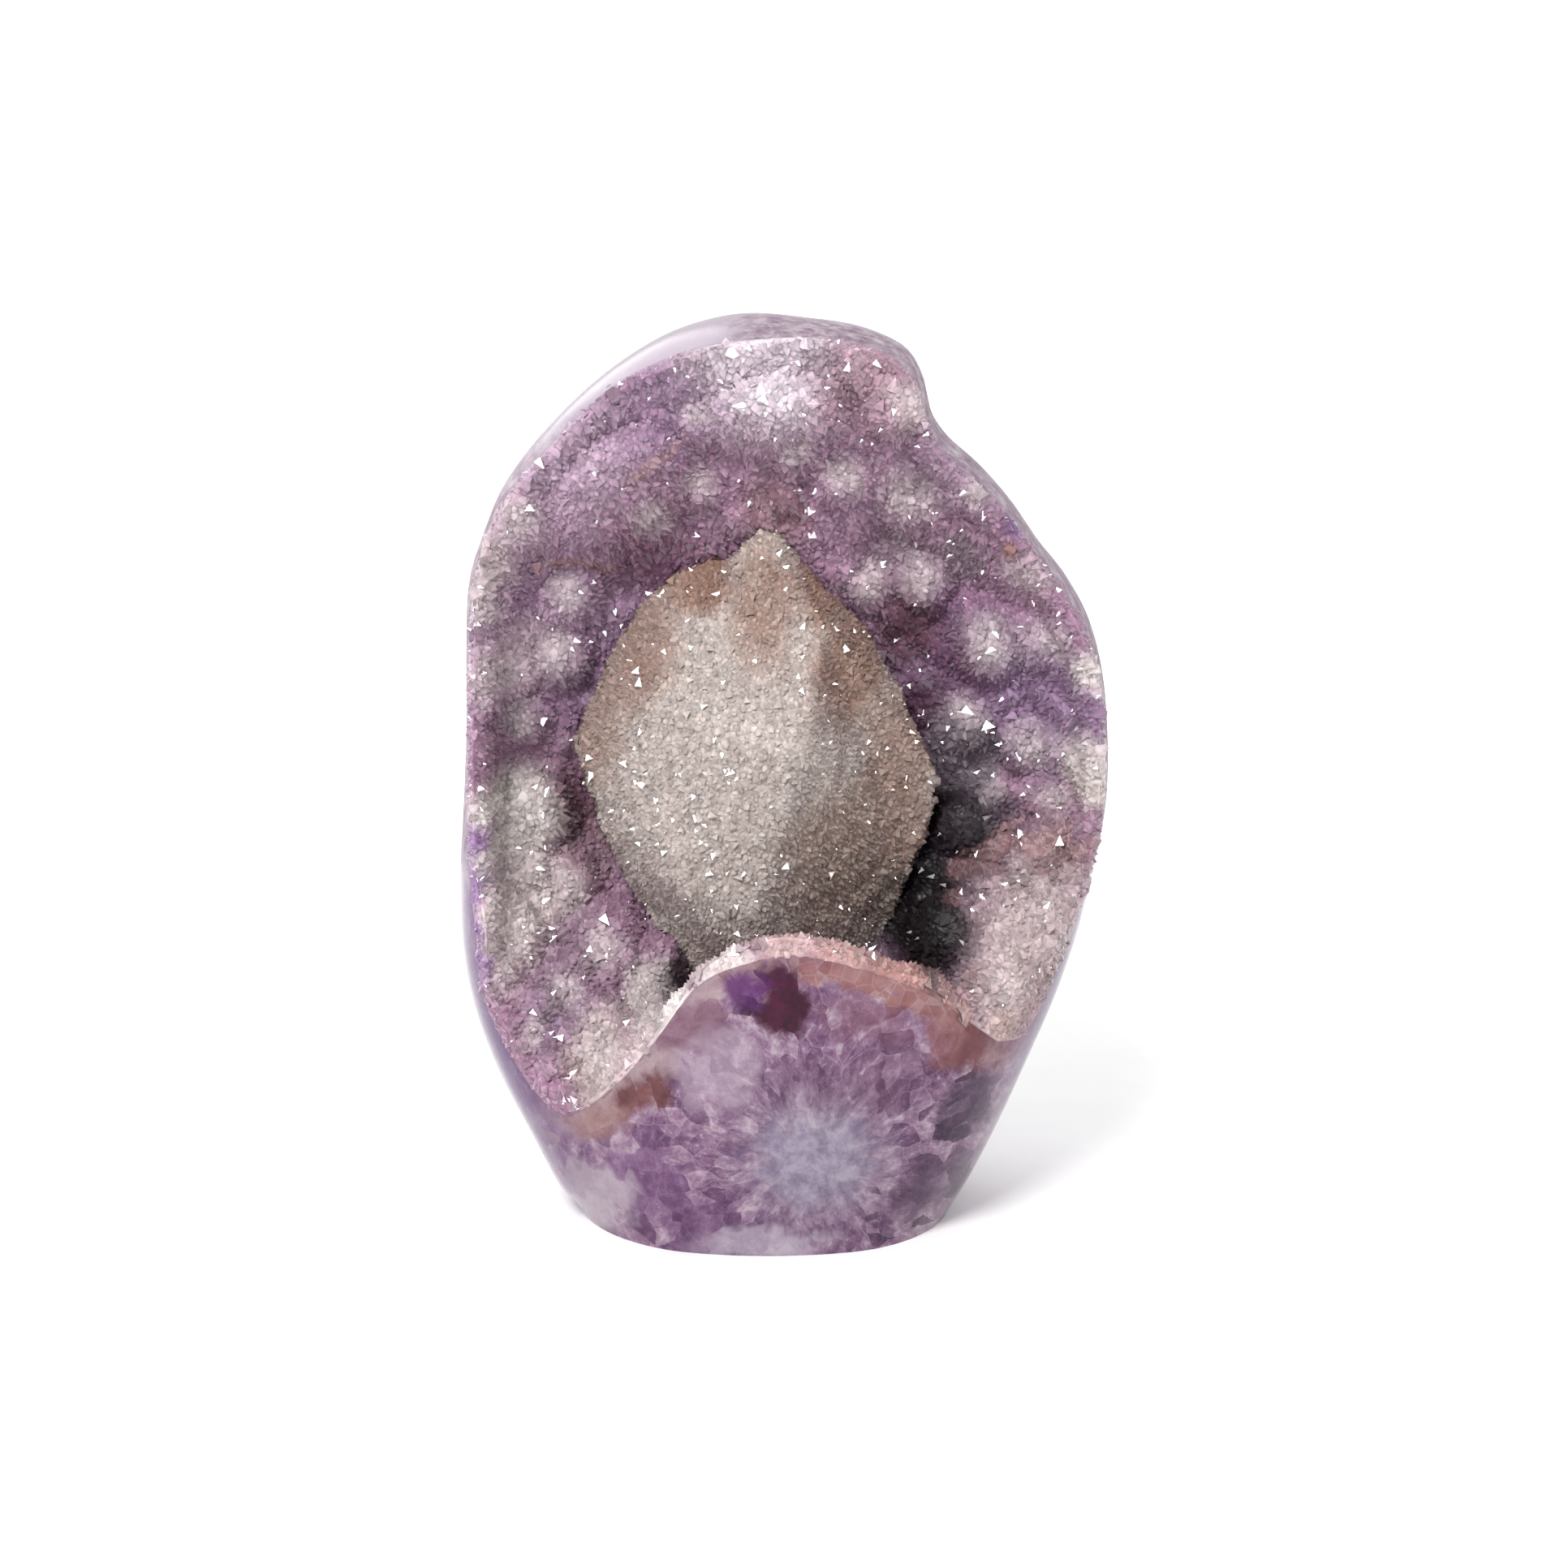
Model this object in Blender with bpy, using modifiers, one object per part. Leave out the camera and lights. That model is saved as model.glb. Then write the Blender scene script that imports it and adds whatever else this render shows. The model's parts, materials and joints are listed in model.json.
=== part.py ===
"""Amethyst freeform with calcite: a thick purple stone, polished behind and at the sides, whose hollow
front is lined with a crust of quartz crystals. One calcite crystal, coated in fine quartz, grows out
of the hollow. Metres, +Z up, the hollow faces -Y, and the sawn base lies at Z = 0.
Run it with: blender --background --python part.py
"""

import math
import random

import bmesh
import bpy
import numpy as np
from mathutils import Matrix, Vector

# All sizes below are in millimetres, and MM turns them into Blender's metres. CENTRING then moves the
# whole stone over the origin.
MM = 0.001
CENTRING = (0.055, 1.362, 0.0)

# The polished skin. OUTLINE is the stone's edge seen from the front, as (x, z), clockwise from the
# top. Its lowest points lie under the base and are sawn away at Z = 0.
OUTLINE = (
    (-5.0, 109.5), (3.4, 108.9), (9.4, 107.9), (14.6, 105.6), (16.8, 102.5), (17.6, 99.4), (18.2, 97.2),
    (20.2, 94.4), (24.0, 91.0), (27.8, 86.7), (31.2, 81.8), (34.6, 77.5), (37.5, 72.1), (39.2, 65.1),
    (39.8, 55.9), (39.4, 48.9), (38.0, 42.1), (36.4, 35.1), (33.7, 27.2), (30.3, 19.3), (26.7, 11.3),
    (23.2, 4.4), (20.0, -1.0), (12.0, -16.0), (-2.0, -23.0), (-16.0, -17.0), (-24.6, -1.0), (-27.8, 2.9),
    (-31.3, 9.4), (-35.4, 17.4), (-38.4, 25.7), (-39.7, 33.3), (-39.9, 41.1), (-39.5, 47.9),
    (-39.0, 58.7), (-38.9, 70.4), (-38.5, 77.3), (-36.9, 82.6), (-34.3, 88.6), (-29.8, 94.7),
    (-24.6, 100.0), (-18.8, 104.5), (-12.5, 107.8),
)
SKIN_CENTRE_Z = 55.0
ROUNDNESS = 2.4
FRONT_DEPTH = ((0.0, 31.5), (20.0, 31.0), (45.0, 29.0), (80.0, 28.0), (112.0, 27.0))
BACK_DEPTH = ((0.0, 27.0), (50.0, 29.0), (112.0, 24.0))
LEAN_BACK = 0.07

# The hollow. HOLLOW_RIM is where its wall meets the skin, as (x, z), clockwise from the top. From
# (26.6, 24.6) to (-26.2, 14.2) it runs over the lip above the polished window.
HOLLOW_RIM = (
    (-5.0, 107.6), (3.4, 107.8), (9.4, 106.8), (14.0, 104.6), (16.2, 101.7), (17.0, 99.0), (17.6, 96.6),
    (19.6, 93.7), (23.4, 90.3), (27.2, 86.1), (30.6, 81.4), (34.0, 77.1), (36.8, 71.8), (38.6, 65.0),
    (39.1, 55.9), (38.7, 48.9), (37.4, 42.2), (35.9, 38.1), (33.4, 32.3), (30.2, 25.4), (26.6, 24.1),
    (21.4, 29.1), (16.4, 32.7), (9.4, 35.7), (1.9, 37.6), (-4.6, 36.7), (-9.6, 34.3), (-13.0, 30.3),
    (-15.8, 26.0), (-20.4, 20.5), (-26.2, 15.5), (-30.3, 18.0), (-34.4, 24.1), (-36.9, 29.7),
    (-37.2, 35.2), (-37.9, 41.5), (-38.5, 48.4), (-38.4, 60.0), (-38.1, 71.4), (-37.0, 80.8),
    (-33.6, 88.4), (-26.8, 96.2), (-20.6, 101.9), (-12.6, 106.0),
)
RIM_CENTRE = (-3.0, 60.5)
DEEPEST = (-1.0, 11.0, 49.0)
BOWL_POWER = 2.2
UNDERCUT = (
    (-180, 0.9), (-150, 1.0), (-122, 1.3), (-112, 1.9), (-104, 2.7), (-95, 3.2), (-82, 3.4), (-70, 3.0),
    (-60, 2.4), (-50, 1.7), (-38, 1.2), (0, 0.9), (90, 0.35), (180, 0.9),
)
SOFTENING = (-0.5, -0.25, 0.0, 0.25, 0.5)
BEYOND_RIM = 1.07
GROWS_TOWARDS = (0.0, -18.0, 57.0)

# The crust that lines the hollow: its thickness, and the swellings of its surface as (x, z, radius,
# height), seen from the front. LOBES are broad folds, and LUMPS are the rounded knobs on them.
GAP = 0.4
CRUST = 2.6
LOBES = (
    (-20.5, 87.0, 13.0, 3.6), (0.0, 97.0, 10.0, 2.0), (28.5, 30.5, 10.5, 7.0), (-33.0, 45.0, 10.0, 2.5),
    (24.0, 82.2, 13.0, 2.2),
)
LUMPS = (
    (14.4, 99.3, 4.8, 1.8), (15.4, 87.2, 6.8, 2.8), (9.9, 76.1, 4.4, 2.0), (17.4, 76.1, 4.8, 2.2),
    (25.4, 69.0, 6.4, 2.8), (22.4, 59.0, 5.4, 2.2), (32.4, 69.9, 5.0, 1.8), (29.4, 79.1, 5.0, 1.6),
    (23.4, 90.0, 3.6, 1.2), (36.0, 56.9, 5.0, 1.5), (30.4, 56.9, 5.2, 1.6), (33.4, 49.9, 4.6, 1.6),
    (25.5, 30.0, 7.5, 10.0), (32.4, 42.5, 6.0, 2.2), (23.4, 45.0, 5.0, 2.6), (-26.6, 75.1, 5.4, 2.2),
    (-27.6, 67.5, 4.8, 2.0), (-34.6, 66.0, 5.2, 1.8), (-32.6, 59.2, 4.4, 1.3), (-32.4, 46.5, 7.5, 4.2),
    (-32.6, 40.1, 6.0, 2.0), (-34.1, 33.3, 6.0, 2.2), (-26.6, 38.1, 4.8, 2.0), (-22.0, 32.3, 5.0, 2.0),
    (-16.6, 27.9, 5.2, 2.4), (-22.6, 22.5, 6.0, 2.2), (-31.1, 25.1, 3.2, 1.8), (-27.0, 28.2, 4.4, 1.4),
    (-10.6, 98.3, 3.8, 1.5), (-10.6, 89.2, 3.6, 1.5), (-16.6, 85.1, 4.4, 2.0), (-32.6, 85.1, 6.0, 2.2),
    (-36.0, 75.1, 3.6, 1.4), (7.4, 90.0, 4.4, 1.5), (1.9, 93.9, 4.4, 1.3), (27.0, 49.4, 4.0, 1.6),
)

# The calcite crystal: the corners of its flat-faced form and of the spire at its top, as (x, y, z).
# The last four of each are rooted in what the form grows from.
CALCITE_CORNERS = (
    (-8.0, 4.0, 74.0), (-17.6, 5.0, 73.5), (-22.1, 4.0, 66.0), (-26.0, 2.0, 56.7), (-13.6, -5.5, 70.8),
    (-16.6, -8.5, 64.7), (9.9, 4.0, 71.3), (14.4, 3.0, 63.1), (19.2, 2.0, 51.6), (18.4, 3.0, 47.0),
    (2.4, -14.0, 58.5), (-7.0, -13.0, 59.5), (-3.6, -11.0, 37.3), (-14.0, -9.0, 42.0), (5.0, -4.0, 71.5),
    (-22.6, 1.0, 46.4), (-19.6, 2.0, 39.2), (-16.6, 3.0, 34.9), (-11.5, 3.0, 26.0), (15.4, 3.0, 39.6),
    (11.6, 4.0, 30.0), (5.0, 1.0, 24.0), (-2.0, -6.0, 26.0),
    (-12.0, 15.0, 63.0), (9.0, 15.0, 61.0), (-12.0, 15.0, 38.0), (9.0, 15.0, 38.0),
)
SPIRE_CORNERS = (
    (-2.3, 5.0, 84.4), (-6.2, 3.0, 79.0), (-10.4, 2.0, 74.8), (1.9, 3.0, 79.0), (6.8, 2.5, 73.4),
    (-2.6, -0.2, 78.6), (-12.0, -4.4, 71.2), (-3.0, -5.0, 70.8), (4.8, -3.8, 71.6),
    (-6.0, 9.0, 75.0), (4.0, 9.0, 75.0), (-10.0, 0.0, 68.0), (4.0, 0.0, 68.0),
)
CALCITE_CLEARANCE = 0.9

# How finely the forms are cut into flat facets, and how far a facet's corner strays at random.
SKIN_SEGMENTS = 52
SKIN_RINGS = 22
WALL_DETAIL = 9
BEHIND_WALL = 2.0
CRUST_GRAIN = 0.9
CRUST_THINNING = 0.11
CALCITE_EDGE = 3.6
CALCITE_ROUGHNESS = 0.3
SEED = 7

FRONT = -1
BACK = 1


def closed_curve(points, steps=16):
    """Points along a smooth closed curve through the given ones."""
    given = np.array(points, float)
    share = np.linspace(0.0, 1.0, steps, endpoint=False)[:, None]
    stretches = []
    for i in range(len(given)):
        before, start, end, after = (given[(i + k) % len(given)] for k in (-1, 0, 1, 2))
        stretches.append(
            start
            + 0.5 * (end - before) * share
            + (before - 2.5 * start + 2.0 * end - 0.5 * after) * share**2
            + (1.5 * (start - end) + 0.5 * (after - before)) * share**3
        )
    return np.concatenate(stretches)


def radius_by_angle(points, centre):
    """A function that gives the distance from the centre to the closed curve, for an angle."""
    curve = closed_curve(points) - np.array(centre)
    angles = np.arctan2(curve[:, 1], curve[:, 0])
    order = np.argsort(angles)
    reach = np.hypot(curve[:, 0], curve[:, 1])
    return lambda angle: np.interp(angle, angles[order], reach[order], period=2 * math.pi)


outline_radius = radius_by_angle(OUTLINE, (0.0, SKIN_CENTRE_Z))
rim_radius = radius_by_angle(HOLLOW_RIM, RIM_CENTRE)


def by_height(table, z):
    heights, values = zip(*table)
    return np.interp(z, heights, values)


def depth_at(z, side):
    """How far the skin swells to the front or the back of the stone's middle plane."""
    return by_height(FRONT_DEPTH if side == FRONT else BACK_DEPTH, z)


def middle_plane(z):
    return LEAN_BACK * (z - SKIN_CENTRE_Z)


def skin_y(x, z, side):
    """Where the polished skin lies at (x, z), on the front or the back of the stone."""
    angle = np.arctan2(z - SKIN_CENTRE_Z, x)
    reach = np.hypot(x, z - SKIN_CENTRE_Z) / outline_radius(angle)
    swell = (1.0 - np.clip(reach, 0.0, 1.0) ** ROUNDNESS) ** (1.0 / ROUNDNESS)
    return middle_plane(z) + side * depth_at(z, side) * swell


def skin_points(directions):
    """Points of the skin for the vertices of a unit sphere."""
    x, y, z = directions.T
    angle = np.arctan2(z, x)
    reach = outline_radius(angle) * np.clip(1.0 - y**2, 0.0, 1.0) ** (1.0 / ROUNDNESS)
    px = reach * np.cos(angle)
    pz = SKIN_CENTRE_Z + reach * np.sin(angle)
    swell = np.abs(y) ** (2.0 / ROUNDNESS)
    depth = np.where(y < 0, -depth_at(pz, FRONT), depth_at(pz, BACK))
    return np.stack([px, middle_plane(pz) + depth * swell, pz], 1)


def hollow_points(share, angle):
    """The wall of the hollow: share is 0 at its deepest point and 1 at the rim, and angle goes round."""
    near_rim = np.clip((share - 0.5) / 0.5, 0.0, 1.0)
    softened = np.mean([rim_radius(angle + turn) for turn in SOFTENING], axis=0)
    radius = softened + (rim_radius(angle) - softened) * near_rim**2
    rim_x = RIM_CENTRE[0] + radius * np.cos(angle)
    rim_z = RIM_CENTRE[1] + radius * np.sin(angle)
    rim_y = skin_y(rim_x, rim_z, FRONT)
    undercut = by_height(UNDERCUT, np.degrees(angle))
    inside = np.minimum(share, 1.0)
    beyond = np.maximum(share - 1.0, 0.0)
    spread = inside * (1.0 + undercut * (1.0 - inside)) + beyond * np.clip(1.3 - 0.4 * undercut, 0.2, 1.0)
    rise = inside**BOWL_POWER + BOWL_POWER * beyond
    x = DEEPEST[0] + (rim_x - DEEPEST[0]) * spread
    y = DEEPEST[1] + (rim_y - DEEPEST[1]) * rise
    z = DEEPEST[2] + (rim_z - DEEPEST[2]) * spread
    return np.stack([x, y, z], -1)


def hollow_directions(points):
    """Unit vectors along which the crust grows: out of the wall, towards the hollow's open middle."""
    ahead = np.array(GROWS_TOWARDS) - points
    return ahead / np.linalg.norm(ahead, axis=-1, keepdims=True)


def placed_on_wall(places):
    """The wall's points that the front view shows at each (x, z)."""
    share, angle = np.meshgrid(np.linspace(0.05, 1.0, 60), np.linspace(-math.pi, math.pi, 240))
    wall = hollow_points(share.ravel(), angle.ravel())
    found = []
    for x, z in places:
        off = np.hypot(wall[:, 0] - x, wall[:, 2] - z) + 0.02 * wall[:, 1]
        found.append(wall[np.argmin(off)])
    return np.array(found)


def share_and_angle(directions, side):
    """Places on the hollow's wall for the half of a unit sphere that faces front or back."""
    x, y, z = directions.T
    from_pole = np.arccos(np.clip(side * y, -1.0, 1.0))
    share = BEYOND_RIM * np.sin(from_pole / 2) / math.sin(math.pi / 4)
    return share, np.arctan2(z, x)


def named_object(name, mesh_builder, material, collection):
    """Makes an object from a bmesh, which is in millimetres."""
    mesh = bpy.data.meshes.new(name)
    bmesh.ops.translate(mesh_builder, vec=CENTRING, verts=mesh_builder.verts)
    bmesh.ops.scale(mesh_builder, vec=(MM, MM, MM), verts=mesh_builder.verts)
    bmesh.ops.recalc_face_normals(mesh_builder, faces=mesh_builder.faces)
    mesh_builder.to_mesh(mesh)
    mesh_builder.free()
    obj = bpy.data.objects.new(name, mesh)
    collection.objects.link(obj)
    if material is None:
        obj.hide_render = True
        obj.display_type = "WIRE"
    else:
        mesh.materials.append(material)
    return obj


def vertex_places(mesh_builder):
    return np.array([v.co for v in mesh_builder.verts])


def move_vertices(mesh_builder, places):
    for vertex, place in zip(mesh_builder.verts, places):
        vertex.co = Vector(place)


def even_sphere():
    """A unit sphere of even triangles: an icosahedron with each edge cut into so many parts."""
    ball = bmesh.new()
    bmesh.ops.create_icosphere(ball, subdivisions=1, radius=1.0)
    bmesh.ops.subdivide_edges(ball, edges=ball.edges[:], cuts=WALL_DETAIL - 1, use_grid_fill=True)
    bmesh.ops.triangulate(ball, faces=ball.faces[:])
    for vertex in ball.verts:
        vertex.co.normalize()
    return ball


def roughen(vertices, amount, rng):
    for vertex in vertices:
        vertex.co += Vector([rng.uniform(-amount, amount) for _ in range(3)])


def body_form(material, collection):
    """The polished stone before its hollow is cut, sawn flat at Z = 0."""
    stone = bmesh.new()
    bmesh.ops.create_uvsphere(stone, u_segments=SKIN_SEGMENTS, v_segments=SKIN_RINGS, radius=1.0)
    poles_along_y = vertex_places(stone)[:, [0, 2, 1]]
    move_vertices(stone, skin_points(poles_along_y))
    sawn = bmesh.ops.bisect_plane(
        stone,
        geom=stone.verts[:] + stone.edges[:] + stone.faces[:],
        plane_co=(0, 0, 0),
        plane_no=(0, 0, 1),
        clear_inner=True,
    )
    bmesh.ops.contextual_create(stone, geom=[e for e in sawn["geom_cut"] if isinstance(e, bmesh.types.BMEdge)])
    return named_object("amethyst_body", stone, material, collection)


def open_hollow(lift):
    """The hollow's open space, which keeps so far off the wall and ends in front of the stone."""
    form = even_sphere()
    directions = vertex_places(form)
    share, angle = share_and_angle(directions, BACK)
    wall = hollow_points(share, angle)
    share, angle = share_and_angle(directions, FRONT)
    air = hollow_points(share, angle)
    air[:, 1] = -90.0 * (1.2 - 0.2 * share)
    back_half = directions[:, 1:2] > 0
    move_vertices(form, np.where(back_half, wall, air))
    bmesh.ops.recalc_face_normals(form, faces=form.faces[:])
    form.normal_update()
    for vertex in form.verts:
        vertex.co -= lift * vertex.normal
    return form


def wall_form(name, lift, collection):
    """A cutter for all that lies in front of the hollow's wall, lifted off it by so much."""
    return named_object(name, open_hollow(lift), None, collection)


def crust_form(material, collection):
    """The crust of crystals: an even layer with a ball for every swelling, all grown into one."""
    form = even_sphere()
    directions = vertex_places(form)
    share, angle = share_and_angle(directions, FRONT)
    wall = hollow_points(share, angle)
    surface = wall + CRUST * hollow_directions(wall)
    share, angle = share_and_angle(directions, BACK)
    behind = hollow_points(share, angle)
    behind -= BEHIND_WALL * hollow_directions(behind)
    move_vertices(form, np.where(directions[:, 1:2] > 0, behind, surface))
    swellings = LOBES + LUMPS
    for centre, (_, _, radius, height) in zip(placed_on_wall([k[:2] for k in swellings]), swellings):
        growth = Vector(hollow_directions(centre[None, :])[0])
        stands = growth.to_track_quat("Z", "Y").to_matrix().to_4x4()
        stands.translation = Vector(centre)
        flatness = Matrix.Diagonal((radius, radius, CRUST + height, 1.0))
        bmesh.ops.create_icosphere(form, subdivisions=3, radius=1.0, matrix=stands @ flatness)
    crust = named_object("quartz_druse_crust", form, material, collection)
    grow_together(crust)
    return crust


def grow_together(obj):
    """Joins the overlapping forms of an object into one skin, then thins that to large facets."""
    remesh = obj.modifiers.new("Remesh", "REMESH")
    remesh.mode = "VOXEL"
    remesh.voxel_size = CRUST_GRAIN * MM
    thin = obj.modifiers.new("Decimate", "DECIMATE")
    thin.ratio = CRUST_THINNING
    bpy.context.view_layer.objects.active = obj
    bpy.ops.object.modifier_apply(modifier=remesh.name)
    bpy.ops.object.modifier_apply(modifier=thin.name)


def crystal_shape(corners):
    """A flat-faced crystal through the corners, its faces cut into small triangles."""
    form = bmesh.new()
    for corner in corners:
        form.verts.new(corner)
    hull = bmesh.ops.convex_hull(form, input=form.verts[:])
    inner = [v for v in hull["geom_interior"] if isinstance(v, bmesh.types.BMVert)]
    bmesh.ops.delete(form, geom=inner, context="VERTS")
    for _ in range(4):
        long_edges = [e for e in form.edges if e.calc_length() > CALCITE_EDGE * 1.5]
        bmesh.ops.subdivide_edges(form, edges=long_edges, cuts=1)
        bmesh.ops.triangulate(form, faces=form.faces[:])
    bmesh.ops.recalc_face_normals(form, faces=form.faces[:])
    return form


def crystal_form(name, corners, rng, material, collection):
    """A crystal of the calcite, roughened by its coat of fine quartz."""
    form = crystal_shape(corners)
    roughen(form.verts, CALCITE_ROUGHNESS, rng)
    return named_object(name, form, material, collection)


def socket(name, corners, collection):
    """A cutter a little larger than a crystal, which clears its place in the crust."""
    form = crystal_shape(corners)
    form.normal_update()
    for vertex in form.verts:
        vertex.co += vertex.normal * CALCITE_CLEARANCE
    return named_object(name, form, None, collection)


def boolean(obj, cutter, operation):
    modifier = obj.modifiers.new(operation.title() + "_" + cutter.name, "BOOLEAN")
    modifier.operation = operation
    modifier.object = cutter
    modifier.solver = "EXACT"


def stone_material(name, colour, roughness):
    material = bpy.data.materials.new(name)
    material.use_nodes = True
    shader = material.node_tree.nodes["Principled BSDF"]
    shader.inputs["Base Color"].default_value = (*colour, 1.0)
    shader.inputs["Roughness"].default_value = roughness
    shader.inputs["Metallic"].default_value = 0.0
    return material


def main():
    for obj in list(bpy.data.objects):
        bpy.data.objects.remove(obj)
    parts = bpy.data.collections.new("amethyst_with_calcite")
    cutters = bpy.data.collections.new("cutters")
    bpy.context.scene.collection.children.link(parts)
    bpy.context.scene.collection.children.link(cutters)
    rng = random.Random(SEED)
    purple = stone_material("polished_amethyst", (0.33, 0.20, 0.34), 0.12)
    druse = stone_material("quartz_druse", (0.45, 0.34, 0.42), 0.35)
    cream = stone_material("coated_calcite", (0.47, 0.40, 0.36), 0.40)

    body = body_form(purple, parts)
    hollow = wall_form("hollow_cutter", 0.0, cutters)
    boolean(body, hollow, "DIFFERENCE")

    crust = crust_form(druse, parts)
    whole_stone = body_form(None, cutters)
    whole_stone.name = "whole_stone"
    open_space = wall_form("open_space", GAP, cutters)
    boolean(crust, open_space, "INTERSECT")
    boolean(crust, whole_stone, "INTERSECT")
    boolean(crust, socket("calcite_socket", CALCITE_CORNERS, cutters), "DIFFERENCE")
    boolean(crust, socket("spire_socket", SPIRE_CORNERS, cutters), "DIFFERENCE")

    calcite = crystal_form("calcite_crystal", CALCITE_CORNERS, rng, cream, parts)
    spire = crystal_form("calcite_spire", SPIRE_CORNERS, rng, None, cutters)
    boolean(calcite, spire, "UNION")
    boolean(calcite, open_space, "INTERSECT")


main()
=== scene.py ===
"""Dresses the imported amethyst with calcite: polished stone, crystal crust, coated calcite and studio."""

import json
import math

import bpy
import numpy as np
from mathutils import Matrix, Vector, noise

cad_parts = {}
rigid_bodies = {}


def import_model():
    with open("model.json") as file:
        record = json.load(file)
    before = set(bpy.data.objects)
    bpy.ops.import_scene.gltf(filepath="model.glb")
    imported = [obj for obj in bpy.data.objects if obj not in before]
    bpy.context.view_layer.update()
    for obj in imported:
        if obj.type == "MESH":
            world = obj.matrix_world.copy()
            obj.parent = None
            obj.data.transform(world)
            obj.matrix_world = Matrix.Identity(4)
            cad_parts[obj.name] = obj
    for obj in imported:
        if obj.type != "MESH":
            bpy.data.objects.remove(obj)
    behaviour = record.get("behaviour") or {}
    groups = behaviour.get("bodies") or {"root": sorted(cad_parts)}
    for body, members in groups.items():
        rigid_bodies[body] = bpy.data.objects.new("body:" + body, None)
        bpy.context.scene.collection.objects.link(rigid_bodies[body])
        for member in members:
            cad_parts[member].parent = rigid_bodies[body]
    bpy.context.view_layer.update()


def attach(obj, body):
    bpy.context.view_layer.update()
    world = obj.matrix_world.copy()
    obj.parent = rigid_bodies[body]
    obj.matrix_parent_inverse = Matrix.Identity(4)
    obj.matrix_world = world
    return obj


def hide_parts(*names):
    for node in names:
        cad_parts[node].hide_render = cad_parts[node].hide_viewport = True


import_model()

bl_info = {
    "name": "Amethyst with calcite",
    "version": (1, 0, 0),
    "blender": (4, 5, 0),
    "location": "3D View > Sidebar > Amethyst",
    "description": "Builds a polished amethyst whose hollow is lined with quartz around a coated calcite",
    "category": "Object",
}

MM = 0.001
BODY = "root"

# The stone's own measures, in millimetres, as its solids have them.
CENTRING = (0.055, 1.362, 0.0)
OUTLINE = (
    (-5, 109.5), (3.4, 108.9), (9.4, 107.9), (14.6, 105.6), (16.8, 102.5), (17.6, 99.4), (18.2, 97.2),
    (20.2, 94.4), (24, 91), (27.8, 86.7), (31.2, 81.8), (34.6, 77.5), (37.5, 72.1), (39.2, 65.1),
    (39.8, 55.9), (39.4, 48.9), (38, 42.1), (36.4, 35.1), (33.7, 27.2), (30.3, 19.3), (26.7, 11.3),
    (23.2, 4.4), (20, -1), (12, -16), (-2, -23), (-16, -17), (-24.6, -1), (-27.8, 2.9), (-31.3, 9.4),
    (-35.4, 17.4), (-38.4, 25.7), (-39.7, 33.3), (-39.9, 41.1), (-39.5, 47.9), (-39, 58.7), (-38.9, 70.4),
    (-38.5, 77.3), (-36.9, 82.6), (-34.3, 88.6), (-29.8, 94.7), (-24.6, 100), (-18.8, 104.5),
    (-12.5, 107.8),
)
SKIN_CENTRE_Z = 55.0
ROUNDNESS = 2.4
FRONT_DEPTH = ((0.0, 31.5), (20.0, 31.0), (45.0, 29.0), (80.0, 28.0), (112.0, 27.0))  # height, depth
BACK_DEPTH = ((0.0, 27.0), (50.0, 29.0), (112.0, 24.0))
LEAN_BACK = 0.07
HOLLOW_RIM = (
    (-5, 107.6), (3.4, 107.8), (9.4, 106.8), (14, 104.6), (16.2, 101.7), (17, 99), (17.6, 96.6),
    (19.6, 93.7), (23.4, 90.3), (27.2, 86.1), (30.6, 81.4), (34, 77.1), (36.8, 71.8), (38.6, 65),
    (39.1, 55.9), (38.7, 48.9), (37.4, 42.2), (35.9, 38.1), (33.4, 32.3), (30.2, 25.4), (26.6, 24.1),
    (21.4, 29.1), (16.4, 32.7), (9.4, 35.7), (1.9, 37.6), (-4.6, 36.7), (-9.6, 34.3), (-13, 30.3),
    (-15.8, 26), (-20.4, 20.5), (-26.2, 15.5), (-30.3, 18), (-34.4, 24.1), (-36.9, 29.7), (-37.2, 35.2),
    (-37.9, 41.5), (-38.5, 48.4), (-38.4, 60), (-38.1, 71.4), (-37, 80.8), (-33.6, 88.4), (-26.8, 96.2),
    (-20.6, 101.9), (-12.6, 106),
)
RIM_CENTRE = (-3.0, 60.5)
DEEPEST = (-1.0, 11.0, 49.0)
BOWL_POWER = 2.2
UNDERCUT = (  # angle in degrees round the rim, share by which the wall bulges there
    (-180, 0.9), (-150, 1.0), (-122, 1.3), (-112, 1.9), (-104, 2.7), (-95, 3.2), (-82, 3.4), (-70, 3.0),
    (-60, 2.4), (-50, 1.7), (-38, 1.2), (0, 0.9), (90, 0.35), (180, 0.9),
)
SOFTENING = (-0.5, -0.25, 0.0, 0.25, 0.5)
BEYOND_RIM = 1.07
GROWS_TOWARDS = (0.0, -18.0, 57.0)
CRUST = 2.6
BEHIND_WALL = 2.0
CRUST_GAP = 0.02
LOBES = (  # x, z, radius, height
    (-20.5, 87, 13, 3.6), (0, 97, 10, 2), (28.5, 30.5, 10.5, 7), (-33, 45, 10, 2.5), (24, 82.2, 13, 2.2),
)
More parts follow.
